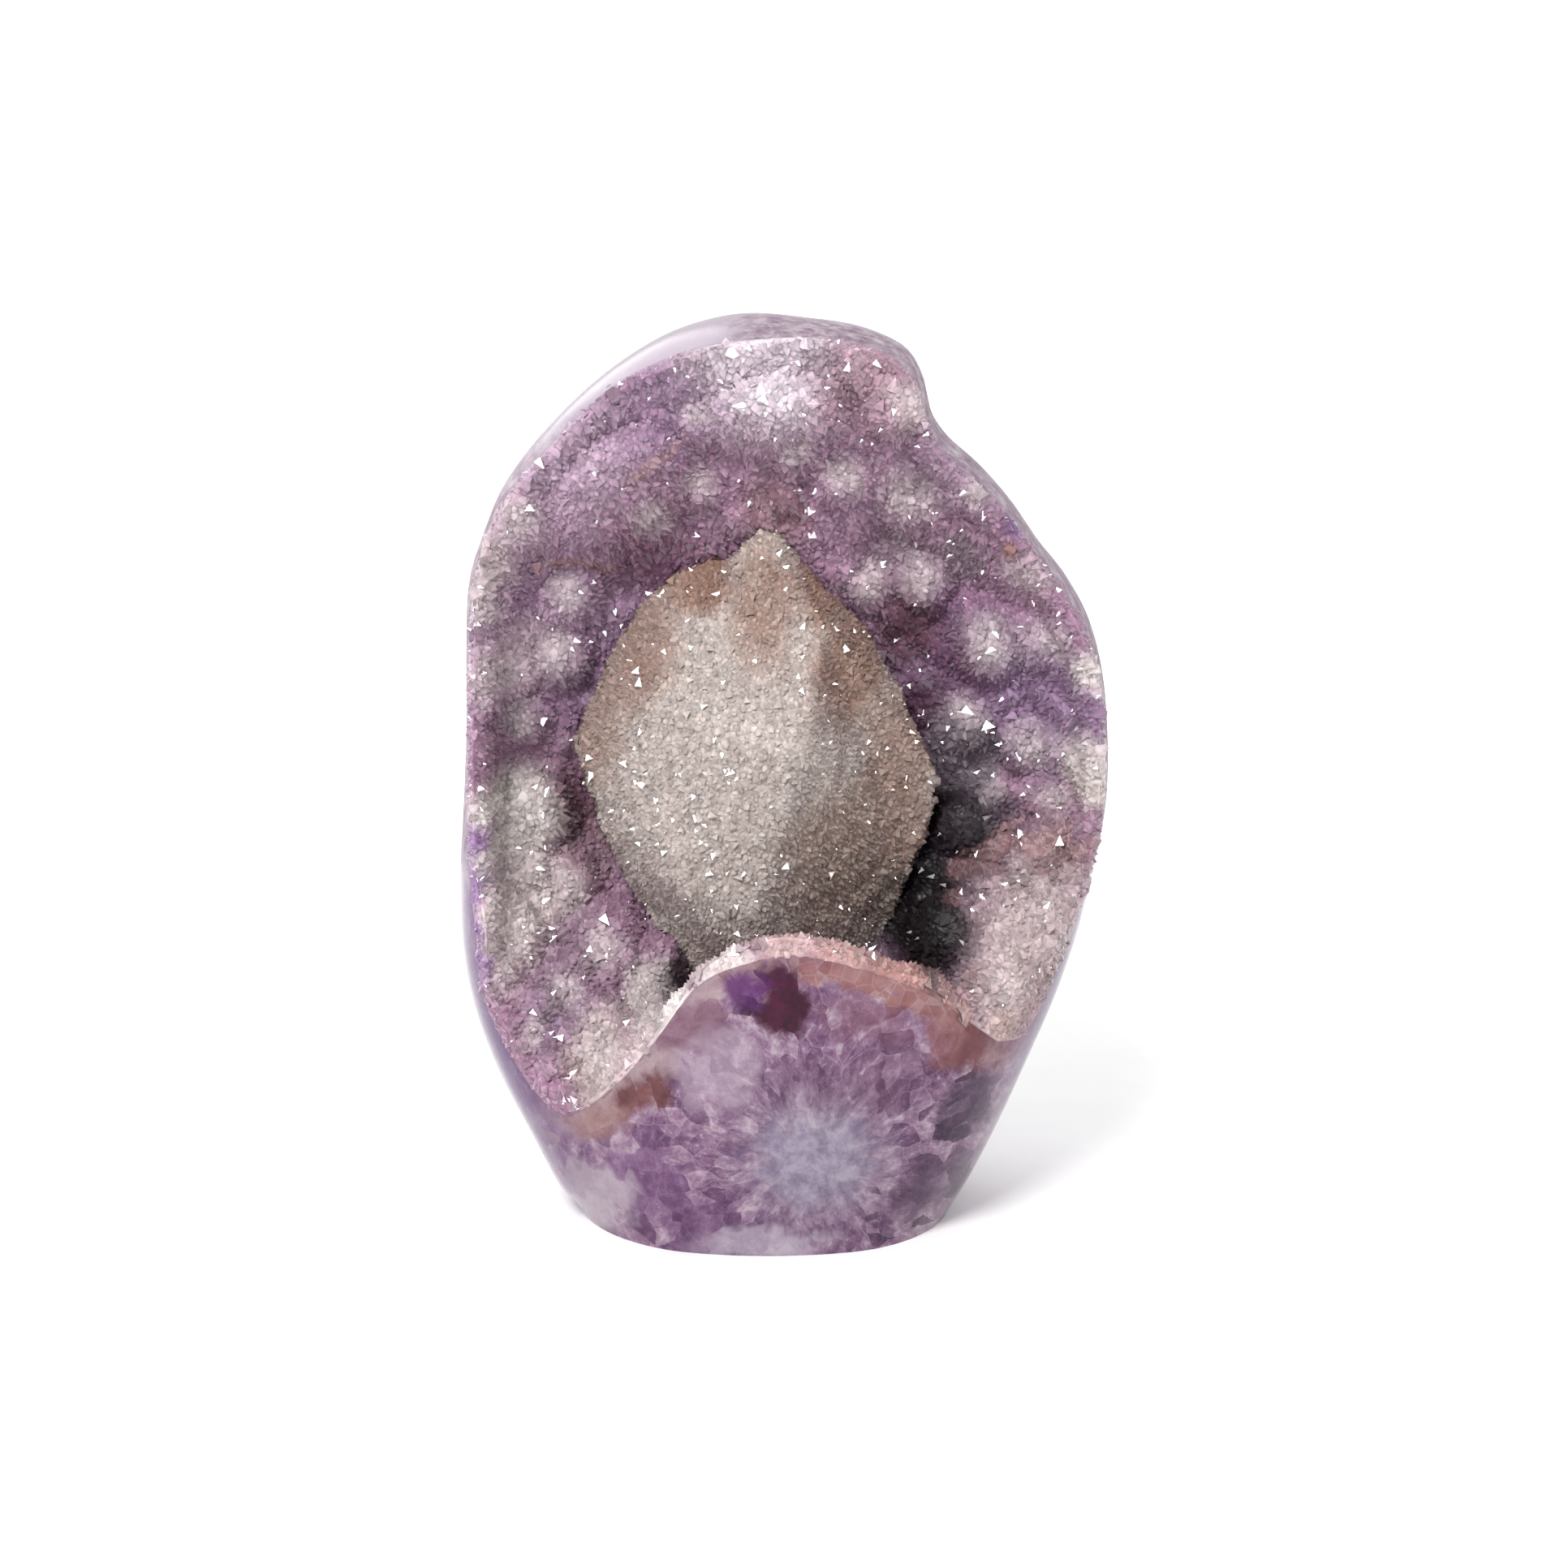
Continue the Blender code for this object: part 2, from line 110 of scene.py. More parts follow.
LUMPS = (  # x, z, radius, height
    (14.4, 99.3, 4.8, 1.8), (15.4, 87.2, 6.8, 2.8), (9.9, 76.1, 4.4, 2), (17.4, 76.1, 4.8, 2.2),
    (25.4, 69, 6.4, 2.8), (22.4, 59, 5.4, 2.2), (32.4, 69.9, 5, 1.8), (29.4, 79.1, 5, 1.6),
    (23.4, 90, 3.6, 1.2), (36, 56.9, 5, 1.5), (30.4, 56.9, 5.2, 1.6), (33.4, 49.9, 4.6, 1.6),
    (25.5, 30, 7.5, 10), (32.4, 42.5, 6, 2.2), (23.4, 45, 5, 2.6), (-26.6, 75.1, 5.4, 2.2),
    (-27.6, 67.5, 4.8, 2), (-34.6, 66, 5.2, 1.8), (-32.6, 59.2, 4.4, 1.3), (-32.4, 46.5, 7.5, 4.2),
    (-32.6, 40.1, 6, 2), (-34.1, 33.3, 6, 2.2), (-26.6, 38.1, 4.8, 2), (-22, 32.3, 5, 2),
    (-16.6, 27.9, 5.2, 2.4), (-22.6, 22.5, 6, 2.2), (-31.1, 25.1, 3.2, 1.8), (-27, 28.2, 4.4, 1.4),
    (-10.6, 98.3, 3.8, 1.5), (-10.6, 89.2, 3.6, 1.5), (-16.6, 85.1, 4.4, 2), (-32.6, 85.1, 6, 2.2),
    (-36, 75.1, 3.6, 1.4), (7.4, 90, 4.4, 1.5), (1.9, 93.9, 4.4, 1.3), (27, 49.4, 4, 1.6),
)
CALCITE_CORNERS = (
    (-8.0, 4.0, 74.0), (-17.6, 5.0, 73.5), (-22.1, 4.0, 66.0), (-26.0, 2.0, 56.7), (-13.6, -5.5, 70.8),
    (-16.6, -8.5, 64.7), (9.9, 4.0, 71.3), (14.4, 3.0, 63.1), (19.2, 2.0, 51.6), (18.4, 3.0, 47.0),
    (2.4, -14.0, 58.5), (-7.0, -13.0, 59.5), (-3.6, -11.0, 37.3), (-14.0, -9.0, 42.0), (5.0, -4.0, 71.5),
    (-22.6, 1.0, 46.4), (-19.6, 2.0, 39.2), (-16.6, 3.0, 34.9), (-11.5, 3.0, 26.0), (15.4, 3.0, 39.6),
    (11.6, 4.0, 30.0), (5.0, 1.0, 24.0), (-2.0, -6.0, 26.0),
    (-12.0, 15.0, 63.0), (9.0, 15.0, 61.0), (-12.0, 15.0, 38.0), (9.0, 15.0, 38.0),
)
SPIRE_CORNERS = (
    (-2.3, 5.0, 84.4), (-6.2, 3.0, 79.0), (-10.4, 2.0, 74.8), (1.9, 3.0, 79.0), (6.8, 2.5, 73.4),
    (-2.6, -0.2, 78.6), (-12.0, -4.4, 71.2), (-3.0, -5.0, 70.8), (4.8, -3.8, 71.6),
    (-6.0, 9.0, 75.0), (4.0, 9.0, 75.0), (-10.0, 0.0, 68.0), (4.0, 0.0, 68.0),
)
CALCITE_SHOULDERS = ((-13.6, 4.0, 77.2), (-8.6, 4.0, 79.6), (-9.0, 1.0, 76.5), (3.2, 4.0, 76.8))
CALCITE_BACK_Y = 9.0
CALCITE_GRAIN = 0.5
CALCITE_GAP = 0.4
LIP_EDGE = (-21.0, -16.0)
WINDOW_FRONT, WINDOW_TOP, WINDOW_SIDE = (-16.0, -6.0), (34.0, 44.0), (22.0, 33.0)
AIR_Y = -90.0
FAN_CENTRE = (3.6, 0.0, 12.6)

# The crystals, as shares of their size, and how they are strewn, in metres.
TIP_SUNK = 0.3
GLINT_RISE = 0.56
TIPS = (  # sides, radius, height, where the point lies off the middle
    (6, 0.66, 0.80, (0.0, 0.0)), (6, 0.72, 0.78, (0.14, 0.05)), (5, 0.68, 0.80, (-0.10, 0.12)),
    (6, 0.62, 0.86, (0.04, -0.16)), (6, 0.58, 0.78, (0.08, -0.04)),
)
GLINTS = ((3, 0.62, 1.0), (3, 0.50, 1.15), (3, 0.72, 0.75), (4, 0.55, 0.85))
DRUSE_TILT, DRUSE_SEED, LUMP_SEED = 28.0, 5, 11
DRUSE_MILK, COAT_MILK = 0.35, 0.25
DRUSE_GLINTS = {"spacing": 0.0031, "small": 0.0006, "large": 0.0014, "seed": 31}
COAT_TIPS = {"small": 0.0006, "large": 0.0013, "tilt": 34.0, "seed": 21}
COAT_GLINTS = {"spacing": 0.0021, "small": 0.0005, "large": 0.0012, "seed": 41}
GLINT_TILT = 12.0

FRONT, BACK = -1, 1
SPHERE_DETAIL = 6
SMOOTH_BELOW = math.radians(40)

# The studio, in metres: where the camera looks, and how wide its view is there.
AIM = Vector((0.00006, 0.00136, 0.0519))
VIEW_WIDTH = 0.1932
SENSOR_MM = 36.0
CATCHES_LIGHT = (-0.131, -0.862, 0.489)  # halfway between the camera and the key light

# How much of its colour each material gives back, and the height of the polished skin's fine relief.
DRUSE_DEPTH = np.array((0.68, 0.68, 0.665))
STONE_DEPTH = 0.46
CALCITE_DEPTH = 0.57
SKIN_RELIEF = 0.04

# Colours are sRGB, 0 to 255, at the place (x, z) where the front shows them.
DRUSE_GROUND = (162, 124, 150)
LUMP_WHITE = (214, 198, 202)
LUMP_STRENGTH = 0.68
VEIN_STRENGTH = 0.6
# Among the crust's own colours, some regions paint light and shade. The near-black entries right of the
# calcite, the darker purple beside the calcite and the brownish mauve round its point are painted shade. The
# pale entries at the hollow's top are painted light, above all the one that brightens the roof that faces
# down. The lump on the left wall is painted up to full white: partly its own white, partly painted light
# where the wall turns from the light.
DRUSE_REGIONS = (  # x, z, radius, colour, strength
    (-26, 70, 16, (158, 126, 158), 0.7), (-20, 60, 9, (116, 82, 112), 0.8),
    (-24, 48, 8, (112, 80, 92), 0.9), (-24.5, 40.5, 5, (136, 108, 118), 0.7),
    (-16, 80, 8, (128, 86, 112), 0.8), (-1.6, 106, 15, (206, 188, 202), 0.8),
    (10, 102, 9, (172, 136, 152), 0.9), (-26, 93.8, 11, (190, 162, 186), 0.7),
    (-14, 99, 8, (162, 130, 166), 0.6), (3, 90, 12, (160, 122, 152), 0.6),
    (-1, 85, 6, (148, 110, 120), 0.8), (20, 92, 8, (172, 142, 168), 0.6), (22, 66, 12, (120, 88, 122), 0.8),
    (33, 62, 11, (142, 112, 150), 0.7), (22, 54, 7, (96, 88, 98), 0.9), (15.6, 37, 10, (26, 20, 24), 0.98),
    (22.5, 46.7, 7, (46, 38, 46), 0.95), (-14.2, 26.7, 4.5, (74, 62, 70), 0.8),
    (14.4, 79.2, 4.5, (122, 116, 120), 0.5), (21.3, 79.8, 4, (110, 106, 110), 0.5),
    (30, 36, 9, (192, 172, 174), 0.9), (28, 29, 6, (172, 146, 148), 0.9),
    (33, 43.5, 4.5, (158, 130, 138), 0.9), (25, 42.5, 3, (120, 90, 96), 0.8),
    (38.5, 67.5, 4, (232, 220, 218), 0.8), (38, 55, 4.5, (232, 220, 214), 0.8),
    (-34, 47.3, 7, (255, 246, 240), 0.95), (-2, 105, 8, (240, 220, 236), 0.8),
    (-33, 37, 8, (236, 216, 218), 0.9), (-33, 67, 6, (226, 196, 214), 0.9),
    (-17, 27, 3.6, (196, 182, 184), 0.9), (-28, 27, 5, (132, 104, 132), 0.7),
    (-22, 21, 6, (184, 164, 162), 0.9), (-26, 33, 5, (138, 108, 132), 0.6),
    (-37, 80, 5, (222, 204, 206), 0.7),
)
DRUSE_VEINS = (  # from (x, z) to (x, z), width, colour
    ((-30.0, 79.6), (-21.0, 79.0), 1.0, (178, 134, 128)),
    ((-17.8, 90.2), (-12.4, 94.7), 0.9, (180, 142, 146)),
    ((21.0, 40.5), (27.0, 44.4), 1.6, (140, 104, 108)),
    ((27.0, 44.4), (37.6, 46.6), 1.5, (164, 128, 130)),
)
STONE_PATCHES = (  # x, z, half width, half height, turn in degrees, colour, strength
    (-0.4, 31.4, 3.4, 4.8, 0, (88, 16, 58), 1), (-4.4, 33.4, 3.2, 2.6, 0, (116, 50, 126), 0.9),
    (-11, 29, 4.6, 4, 35, (160, 112, 140), 0.75), (-17.8, 20, 4.4, 2.8, 25, (140, 84, 86), 0.95),
    (-22, 16.2, 4.4, 2.6, 25, (186, 146, 146), 0.9), (23.4, 24.4, 3.6, 3.2, 0, (136, 76, 82), 0.95),
    (19.5, 26.5, 4, 3, -30, (176, 122, 126), 0.8), (22.6, 17.2, 3.8, 5, 20, (84, 56, 90), 0.75),
    (-17.5, 9, 6.5, 5.6, 0, (152, 110, 156), 0.7), (-10.3, 4, 6.5, 3.6, 0, (140, 98, 142), 0.7),
    (-22.5, 5, 4, 4.8, 0, (222, 206, 218), 0.9), (-2.5, 1.4, 8, 2.2, 0, (218, 204, 220), 0.85),
    (16.6, 6.4, 7, 4.5, 30, (116, 82, 116), 0.8), (9.5, 29.5, 5.5, 3, -20, (160, 112, 134), 0.7),
    (-7.5, 23.6, 5, 4, 30, (216, 196, 212), 0.7), (3.6, 12.6, 7.5, 5, 0, (176, 168, 194), 0.5),
    (3, 22.5, 6.5, 3, 0, (142, 104, 136), 0.5), (12, 22, 5, 4, 30, (150, 112, 142), 0.5),
)
# The "dark" regions are painted shade, on the lower right face and the foot of the calcite. The "tan" regions
# are partly stain along the edges and partly painted shade on the upper faces and beside the point.
CALCITE_REGIONS = (  # x, z, half width, half height, shade, strength
    (8, 43, 10, 13, "dark", 0.95), (-2, 31, 12, 6, "dark", 0.6), (8, 67, 6, 9, "tan", 0.9),
    (14, 56, 5, 9, "tan", 0.7), (-17, 70, 5.5, 7, "tan", 0.7), (-23, 60, 4.5, 9, "tan", 0.6),
    (-12, 77, 6, 4, "tan", 0.8), (-24.5, 56, 2.5, 5, "tan", 0.3), (16, 46, 4, 8, "tan", 0.5),
    (-9.5, 77, 3.5, 4.5, "tan", 1), (4.5, 76, 3.5, 5, "tan", 1), (-2.5, 75, 5, 9, "tan", 0.8),
    (-19, 65, 4, 5, "tan", 0.5), (4, 78, 4, 4, "tan", 0.5),
)
LIP_REGIONS = (  # along the lip, in front: x, z, radius, colour, strength
    (-17, 24, 4, (214, 190, 196), 0.9), (-12, 30.5, 4.5, (246, 232, 232), 0.95),
    (-7, 35, 4.5, (240, 222, 224), 0.95), (0, 38.5, 4.5, (208, 174, 176), 0.95),
    (7, 38, 4.5, (206, 164, 162), 0.95), (14, 35, 4.5, (194, 146, 142), 0.95),
    (20.5, 30.5, 4, (176, 136, 134), 0.9), (26, 25, 3.5, (190, 164, 162), 0.9),
)
# Painted shade: the darker entries stand for the shade in the deep places: the near-black pocket right of the
# calcite, the dark purple beside the calcite and the pit under the lip's left end. The violet entries along
# the left edge and the pink ones on the knob are the crust's own colours.
HOLLOW_SHADE_AND_TONES = (  # deep places, painted over the rest inside the hollow
    (15, 70.5, 6, (86, 52, 66), 0.9), (21, 66, 5, (104, 68, 94), 0.7), (16.5, 60, 4.5, (70, 40, 60), 0.8),
    (22, 54, 6.5, (118, 104, 116), 0.8), (15.6, 37, 9.5, (22, 16, 20), 0.98),
    (21.5, 45.6, 6, (38, 30, 37), 0.97), (27.5, 47.5, 3.5, (84, 72, 84), 0.7),
    (-13, 28.4, 2.6, (60, 48, 54), 0.85), (-21.5, 52, 5, (118, 74, 100), 0.6),
    (27.5, 31, 5.5, (152, 126, 130), 0.85), (33, 44.5, 3.8, (136, 108, 114), 0.85),
    (-38.8, 47, 3.4, (146, 106, 158), 0.95), (-38.8, 42, 3.4, (146, 106, 158), 0.95),
    (-38.4, 37, 3.4, (146, 106, 158), 0.95), (-37.8, 32, 3.2, (150, 112, 158), 0.95),
    (28.6, 86.2, 2.2, (104, 66, 132), 0.9), (27.6, 82.6, 1.3, (150, 108, 88), 0.8),
)


# -------- the shared shapes


def closed_curve(points, steps=16):
    """Points along a smooth closed curve that passes through the given ones."""
    corners = np.array(points, float)
    stretches = []
    for before, start, end, after in zip(*(np.roll(corners, turn, 0) for turn in (1, 0, -1, -2))):
        share = np.linspace(0.0, 1.0, steps, endpoint=False)[:, None]
        stretches.append(
            start
            + 0.5 * (end - before) * share
            + (before - 2.5 * start + 2.0 * end - 0.5 * after) * share**2
            + (1.5 * (start - end) + 0.5 * (after - before)) * share**3
        )
    return np.concatenate(stretches)


def radius_by_angle(points, centre):
    """A function that gives the distance from the centre to the closed curve, for an angle."""
    curve = closed_curve(points) - np.array(centre)
    angles = np.arctan2(curve[:, 1], curve[:, 0])
    order = np.argsort(angles)
    reach = np.hypot(curve[:, 0], curve[:, 1])
    return lambda angle: np.interp(angle, angles[order], reach[order], period=2 * math.pi)


outline_radius = radius_by_angle(OUTLINE, (0.0, SKIN_CENTRE_Z))
rim_radius = radius_by_angle(HOLLOW_RIM, RIM_CENTRE)


def by_height(table, z):
    heights, values = zip(*table)
    return np.interp(z, heights, values)


def depth_at(z, side):
    return by_height(FRONT_DEPTH if side == FRONT else BACK_DEPTH, z)


def middle_plane(z):
    return LEAN_BACK * (z - SKIN_CENTRE_Z)


def skin_y(x, z, side):
    """Where the polished skin lies at (x, z), on the front or the back of the stone."""
    angle = np.arctan2(z - SKIN_CENTRE_Z, x)
    reach = np.hypot(x, z - SKIN_CENTRE_Z) / outline_radius(angle)
    swell = (1.0 - np.clip(reach, 0.0, 1.0) ** ROUNDNESS) ** (1.0 / ROUNDNESS)
    return middle_plane(z) + side * depth_at(z, side) * swell


def skin_points(directions):
    """Points of the skin for the vertices of a unit sphere."""
    x, y, z = directions.T
    angle = np.arctan2(z, x)
    reach = outline_radius(angle) * np.clip(1.0 - y**2, 0.0, 1.0) ** (1.0 / ROUNDNESS)
    px = reach * np.cos(angle)
    pz = SKIN_CENTRE_Z + reach * np.sin(angle)
    swell = np.abs(y) ** (2.0 / ROUNDNESS)
    depth = np.where(y < 0, -depth_at(pz, FRONT), depth_at(pz, BACK))
    return np.stack([px, middle_plane(pz) + depth * swell, pz], 1)


def hollow_points(share, angle):
    """The wall of the hollow: share is 0 at its deepest point and 1 at the rim, and angle goes round."""
    near_rim = np.clip((share - 0.5) / 0.5, 0.0, 1.0)
    softened = np.mean([rim_radius(angle + turn) for turn in SOFTENING], axis=0)
    radius = softened + (rim_radius(angle) - softened) * near_rim**2
    rim_x = RIM_CENTRE[0] + radius * np.cos(angle)
    rim_z = RIM_CENTRE[1] + radius * np.sin(angle)
    rim_y = skin_y(rim_x, rim_z, FRONT)
    undercut = by_height(UNDERCUT, np.degrees(angle))
    inside = np.minimum(share, 1.0)
    beyond = np.maximum(share - 1.0, 0.0)
    spread = inside * (1.0 + undercut * (1.0 - inside)) + beyond * np.clip(1.3 - 0.4 * undercut, 0.2, 1.0)
    rise = inside**BOWL_POWER + BOWL_POWER * beyond
    x = DEEPEST[0] + (rim_x - DEEPEST[0]) * spread
    y = DEEPEST[1] + (rim_y - DEEPEST[1]) * rise
    z = DEEPEST[2] + (rim_z - DEEPEST[2]) * spread
    return np.stack([x, y, z], -1)


def hollow_directions(points):
    """Unit vectors along which the crust grows: out of the wall, towards the hollow's open middle."""
    ahead = np.array(GROWS_TOWARDS) - points
    return ahead / np.linalg.norm(ahead, axis=-1, keepdims=True)


def placed_on_wall(places):
    """The wall's points that the front view shows at each (x, z)."""
    share, angle = np.meshgrid(np.linspace(0.05, 1.0, 60), np.linspace(-math.pi, math.pi, 240))
    wall = hollow_points(share.ravel(), angle.ravel())
    nearness = [np.hypot(wall[:, 0] - x, wall[:, 2] - z) + 0.02 * wall[:, 1] for x, z in places]
    return wall[np.argmin(nearness, axis=1)]


def share_and_angle(directions, side):
    """Places on the hollow's wall for the half of a unit sphere that faces front or back."""
    x, y, z = directions.T
    from_pole = np.arccos(np.clip(side * y, -1.0, 1.0))
    return BEYOND_RIM * np.sin(from_pole / 2) / math.sin(math.pi / 4), np.arctan2(z, x)


# -------- meshes


def deselect_all():
    if bpy.context.mode != "OBJECT":
        bpy.ops.object.mode_set(mode="OBJECT")
    bpy.ops.object.select_all(action="DESELECT")


def make_active(obj):
    deselect_all()
    obj.select_set(True)
    bpy.context.view_layer.objects.active = obj


def primitive(kind, name, **sizes):
    """Adds one of Blender's primitives, and names it."""
    deselect_all()
    getattr(bpy.ops.mesh, f"primitive_{kind}_add")(**sizes)
    obj = bpy.context.object
    obj.name = obj.data.name = name
    return obj


def vertex_places(obj):
    places = np.empty(len(obj.data.vertices) * 3)
    obj.data.vertices.foreach_get("co", places)
    return places.reshape(-1, 3)


def vertex_normals(obj):
    normals = np.empty(len(obj.data.vertices) * 3)
    obj.data.vertex_normals.foreach_get("vector", normals)
    return normals.reshape(-1, 3)


def move_vertices(obj, places):
    obj.data.vertices.foreach_set("co", np.ascontiguousarray(places, dtype=np.float32).ravel())
    obj.data.update()


def edit_all(obj, operator, **settings):
    """Runs one mesh operator on the whole of an object, in edit mode."""
    make_active(obj)
    bpy.ops.object.mode_set(mode="EDIT")
    bpy.ops.mesh.select_all(action="SELECT")
    operator(**settings)
    bpy.ops.object.mode_set(mode="OBJECT")


def point_outwards(obj):
    edit_all(obj, bpy.ops.mesh.normals_make_consistent, inside=False)


def join(objects):
    """Makes several objects one, and returns it."""
    make_active(objects[0])
    for obj in objects:
        obj.select_set(True)
    bpy.ops.object.join()
    return objects[0]


def modify(obj, kind, **settings):
    """Adds a modifier and applies it."""
    make_active(obj)
    modifier = obj.modifiers.new(kind.title(), kind)
    for key, value in settings.items():
        setattr(modifier, key, value)
    bpy.ops.object.modifier_apply(modifier=modifier.name)


def in_fixed_order(obj):
    """Lists a mesh's vertices and faces by their places, since a cut gives them in no fixed order."""
    old = obj.data
    places = vertex_places(obj)
    order = np.lexsort(places.T)
    rank = np.argsort(order)
    faces = []
    for face in old.polygons:
        corners = [int(rank[i]) for i in face.vertices]
        first = corners.index(min(corners))
        faces.append(corners[first:] + corners[:first])
    marks = {name: stored(obj, name)[order] for name in ("grown", "sawn") if name in old.attributes}
    obj.data = bpy.data.meshes.new(obj.name)
    obj.data.from_pydata(places[order], [], sorted(faces))
    for name, values in marks.items():
        store(obj, name, values)
    bpy.data.meshes.remove(old)
    obj.data.name = obj.name


def cut(obj, cutter, operation):
    modify(obj, "BOOLEAN", object=cutter, operation=operation, solver="MANIFOLD")
    if not obj.data.polygons:
        raise RuntimeError(f"{obj.name} is empty after its {operation.lower()} with {cutter.name}")
    in_fixed_order(obj)


def remove(*objects):
    for obj in objects:
        mesh = obj.data
        bpy.data.objects.remove(obj)
        bpy.data.meshes.remove(mesh)


def copy_of(obj, name):
    twin = obj.copy()
    twin.data = obj.data.copy()
    twin.name = twin.data.name = name
    bpy.context.scene.collection.objects.link(twin)
    return twin


def store(obj, name, values, kind="FLOAT"):
    """Writes one value for each vertex as an attribute of the mesh."""
    if kind == "FLOAT_COLOR":
        values = np.concatenate([values, np.ones((len(values), 1))], 1)
    attribute = obj.data.attributes.new(name, kind, "POINT")
    part = {"FLOAT": "value", "FLOAT_COLOR": "color", "FLOAT_VECTOR": "vector"}[kind]
    attribute.data.foreach_set(part, np.ascontiguousarray(values, dtype=np.float32).ravel())


def stored(obj, name):
    """Takes an attribute's values off a mesh."""
    attribute = obj.data.attributes[name]
    values = np.empty(len(attribute.data))
    attribute.data.foreach_get("value", values)
    obj.data.attributes.remove(attribute)
    return values


def settle(obj):
    """Puts a form made in the stone's millimetres at its place in the frame."""
    move_vertices(obj, (vertex_places(obj) + np.array(CENTRING)) * MM)


def finish_piece(obj, material, replaced=None, smooth=True):
    obj.data.materials.clear()
    obj.data.materials.append(material)
    make_active(obj)
    if smooth:
        bpy.ops.object.shade_smooth_by_angle(angle=SMOOTH_BELOW)
    else:
        bpy.ops.object.shade_flat()
    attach(obj, BODY)
    if replaced:
        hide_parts(replaced)


def looks_at_light(normals):
    """0 where a surface turns its side to the glints' direction, 1 where it faces it well enough."""
    return np.clip((normals @ np.array(CATCHES_LIGHT) - 0.25) / 0.3, 0.0, 1.0)


def note_growth(obj, tint, grows, glints, vigour):
    """Notes on each point what grows there, how strongly, and the colour and slope of its ground."""
    normals = vertex_normals(obj)
    store(obj, "tint", tint, "FLOAT_COLOR")
    store(obj, "grows", grows)
    store(obj, "glints", glints * looks_at_light(normals))
    store(obj, "vigour", vigour)
    store(obj, "spark", np.full(len(normals), 0.5))
    store(obj, "ground", normals, "FLOAT_VECTOR")


def wobble(points, grain, seed):
    """A soft random height for each point, about -1 to 1, with waves as long as grain."""
    shift = Vector((seed * 17.3, seed * 5.1, seed * 9.7))
    return np.array([noise.noise(Vector(p) / grain + shift) for p in points])


def roughen(obj, *waves):
    """Moves a skin in and out by soft random waves, each given by its height, length and seed."""
    places = vertex_places(obj)
    rough = sum(height * wobble(places, length, seed) for height, length, seed in waves)
    move_vertices(obj, places + rough[:, None] * vertex_normals(obj))


# -------- the stone's forms


def whole_stone(name, settings):
    """The polished pebble, sawn flat at the bottom."""
    stone = primitive("uv_sphere", name, segments=settings.segments, ring_count=settings.rings, radius=1.0)
    move_vertices(stone, skin_points(vertex_places(stone)[:, [0, 2, 1]]))
    edit_all(
        stone, bpy.ops.mesh.bisect, plane_co=(0, 0, 0), plane_no=(0, 0, 1), clear_inner=True, use_fill=True
    )
    point_outwards(stone)
    return stone


def even_sphere(name, subdivisions=SPHERE_DETAIL):
    return primitive("ico_sphere", name, subdivisions=subdivisions, radius=1.0)


def open_hollow(name, lift):
    """All that lies in front of the hollow's wall, lifted off it by so much."""
    form = even_sphere(name)
    directions = vertex_places(form)
    wall = hollow_points(*share_and_angle(directions, BACK))
    share, angle = share_and_angle(directions, FRONT)
    air = hollow_points(share, angle)
    air[:, 1] = AIR_Y * (1.2 - 0.2 * share)
    move_vertices(form, np.where(directions[:, 1:2] > 0, wall, air))
    point_outwards(form)
    move_vertices(form, vertex_places(form) - lift * vertex_normals(form))
    return form


def lump(name, centre, radius, height):
    """A low round swelling of the crust that stands on the wall."""
    growth = Vector(hollow_directions(centre[None, :])[0])
    stands = growth.to_track_quat("Z", "Y").to_matrix().to_4x4()
    stands.translation = Vector(centre)
    ball = even_sphere(name, 4 if radius > 4 else 3)
    ball.data.transform(stands @ Matrix.Diagonal((radius, radius, height, 1.0)))
    return ball


def small_lumps(count, rng):
    """Places, radii and heights of the little lumps between the large ones."""
    share = np.sqrt(rng.uniform(0.05, 0.98, count))
    angle = rng.uniform(-math.pi, math.pi, count)
    return hollow_points(share, angle), rng.uniform(1.7, 3.3, count), rng.uniform(0.3, 1.3, count)


def crust_form(name, grain, lump_count, rng):
    """The crust: an even layer with a ball for every swelling, all grown into one skin."""
    layer = even_sphere(name)
    directions = vertex_places(layer)
    wall = hollow_points(*share_and_angle(directions, FRONT))
    surface = wall + CRUST * hollow_directions(wall)
    behind = hollow_points(*share_and_angle(directions, BACK))
    behind -= BEHIND_WALL * hollow_directions(behind)
    move_vertices(layer, np.where(directions[:, 1:2] > 0, behind, surface))
    x, z, radii, heights = zip(*(LOBES + LUMPS))
    swellings = [*zip(placed_on_wall(zip(x, z)), radii, heights), *zip(*small_lumps(lump_count, rng))]
    balls = [
        lump(f"lump_{i}", centre, radius, CRUST + height)
        for i, (centre, radius, height) in enumerate(swellings)
    ]
    crust = join([layer] + balls)
    modify(crust, "REMESH", mode="VOXEL", voxel_size=grain)
    roughen(crust, (0.3, 3.4, 1), (0.12, 1.5, 2))
    return crust


def flat_faced(name, corners):
    """A flat-faced crystal through the corners."""
    mesh = bpy.data.meshes.new(name)
    mesh.from_pydata(corners, [], [])
    obj = bpy.data.objects.new(name, mesh)
    bpy.context.scene.collection.objects.link(obj)
    edit_all(obj, bpy.ops.mesh.convex_hull)
    point_outwards(obj)
    return obj


def quartz_tip(name, sides, radius, height, shift=(0.0, 0.0)):
    """One quartz crystal's blunt tip, its foot sunk in the ground and its point a little off the middle."""
    tip = primitive("cone", name, vertices=sides, radius1=radius, radius2=0.0, depth=height)
    places = vertex_places(tip)
    places[np.argmax(places[:, 2]), :2] += shift
    move_vertices(tip, places + (0.0, 0.0, height / 2 - TIP_SUNK))
    return tip


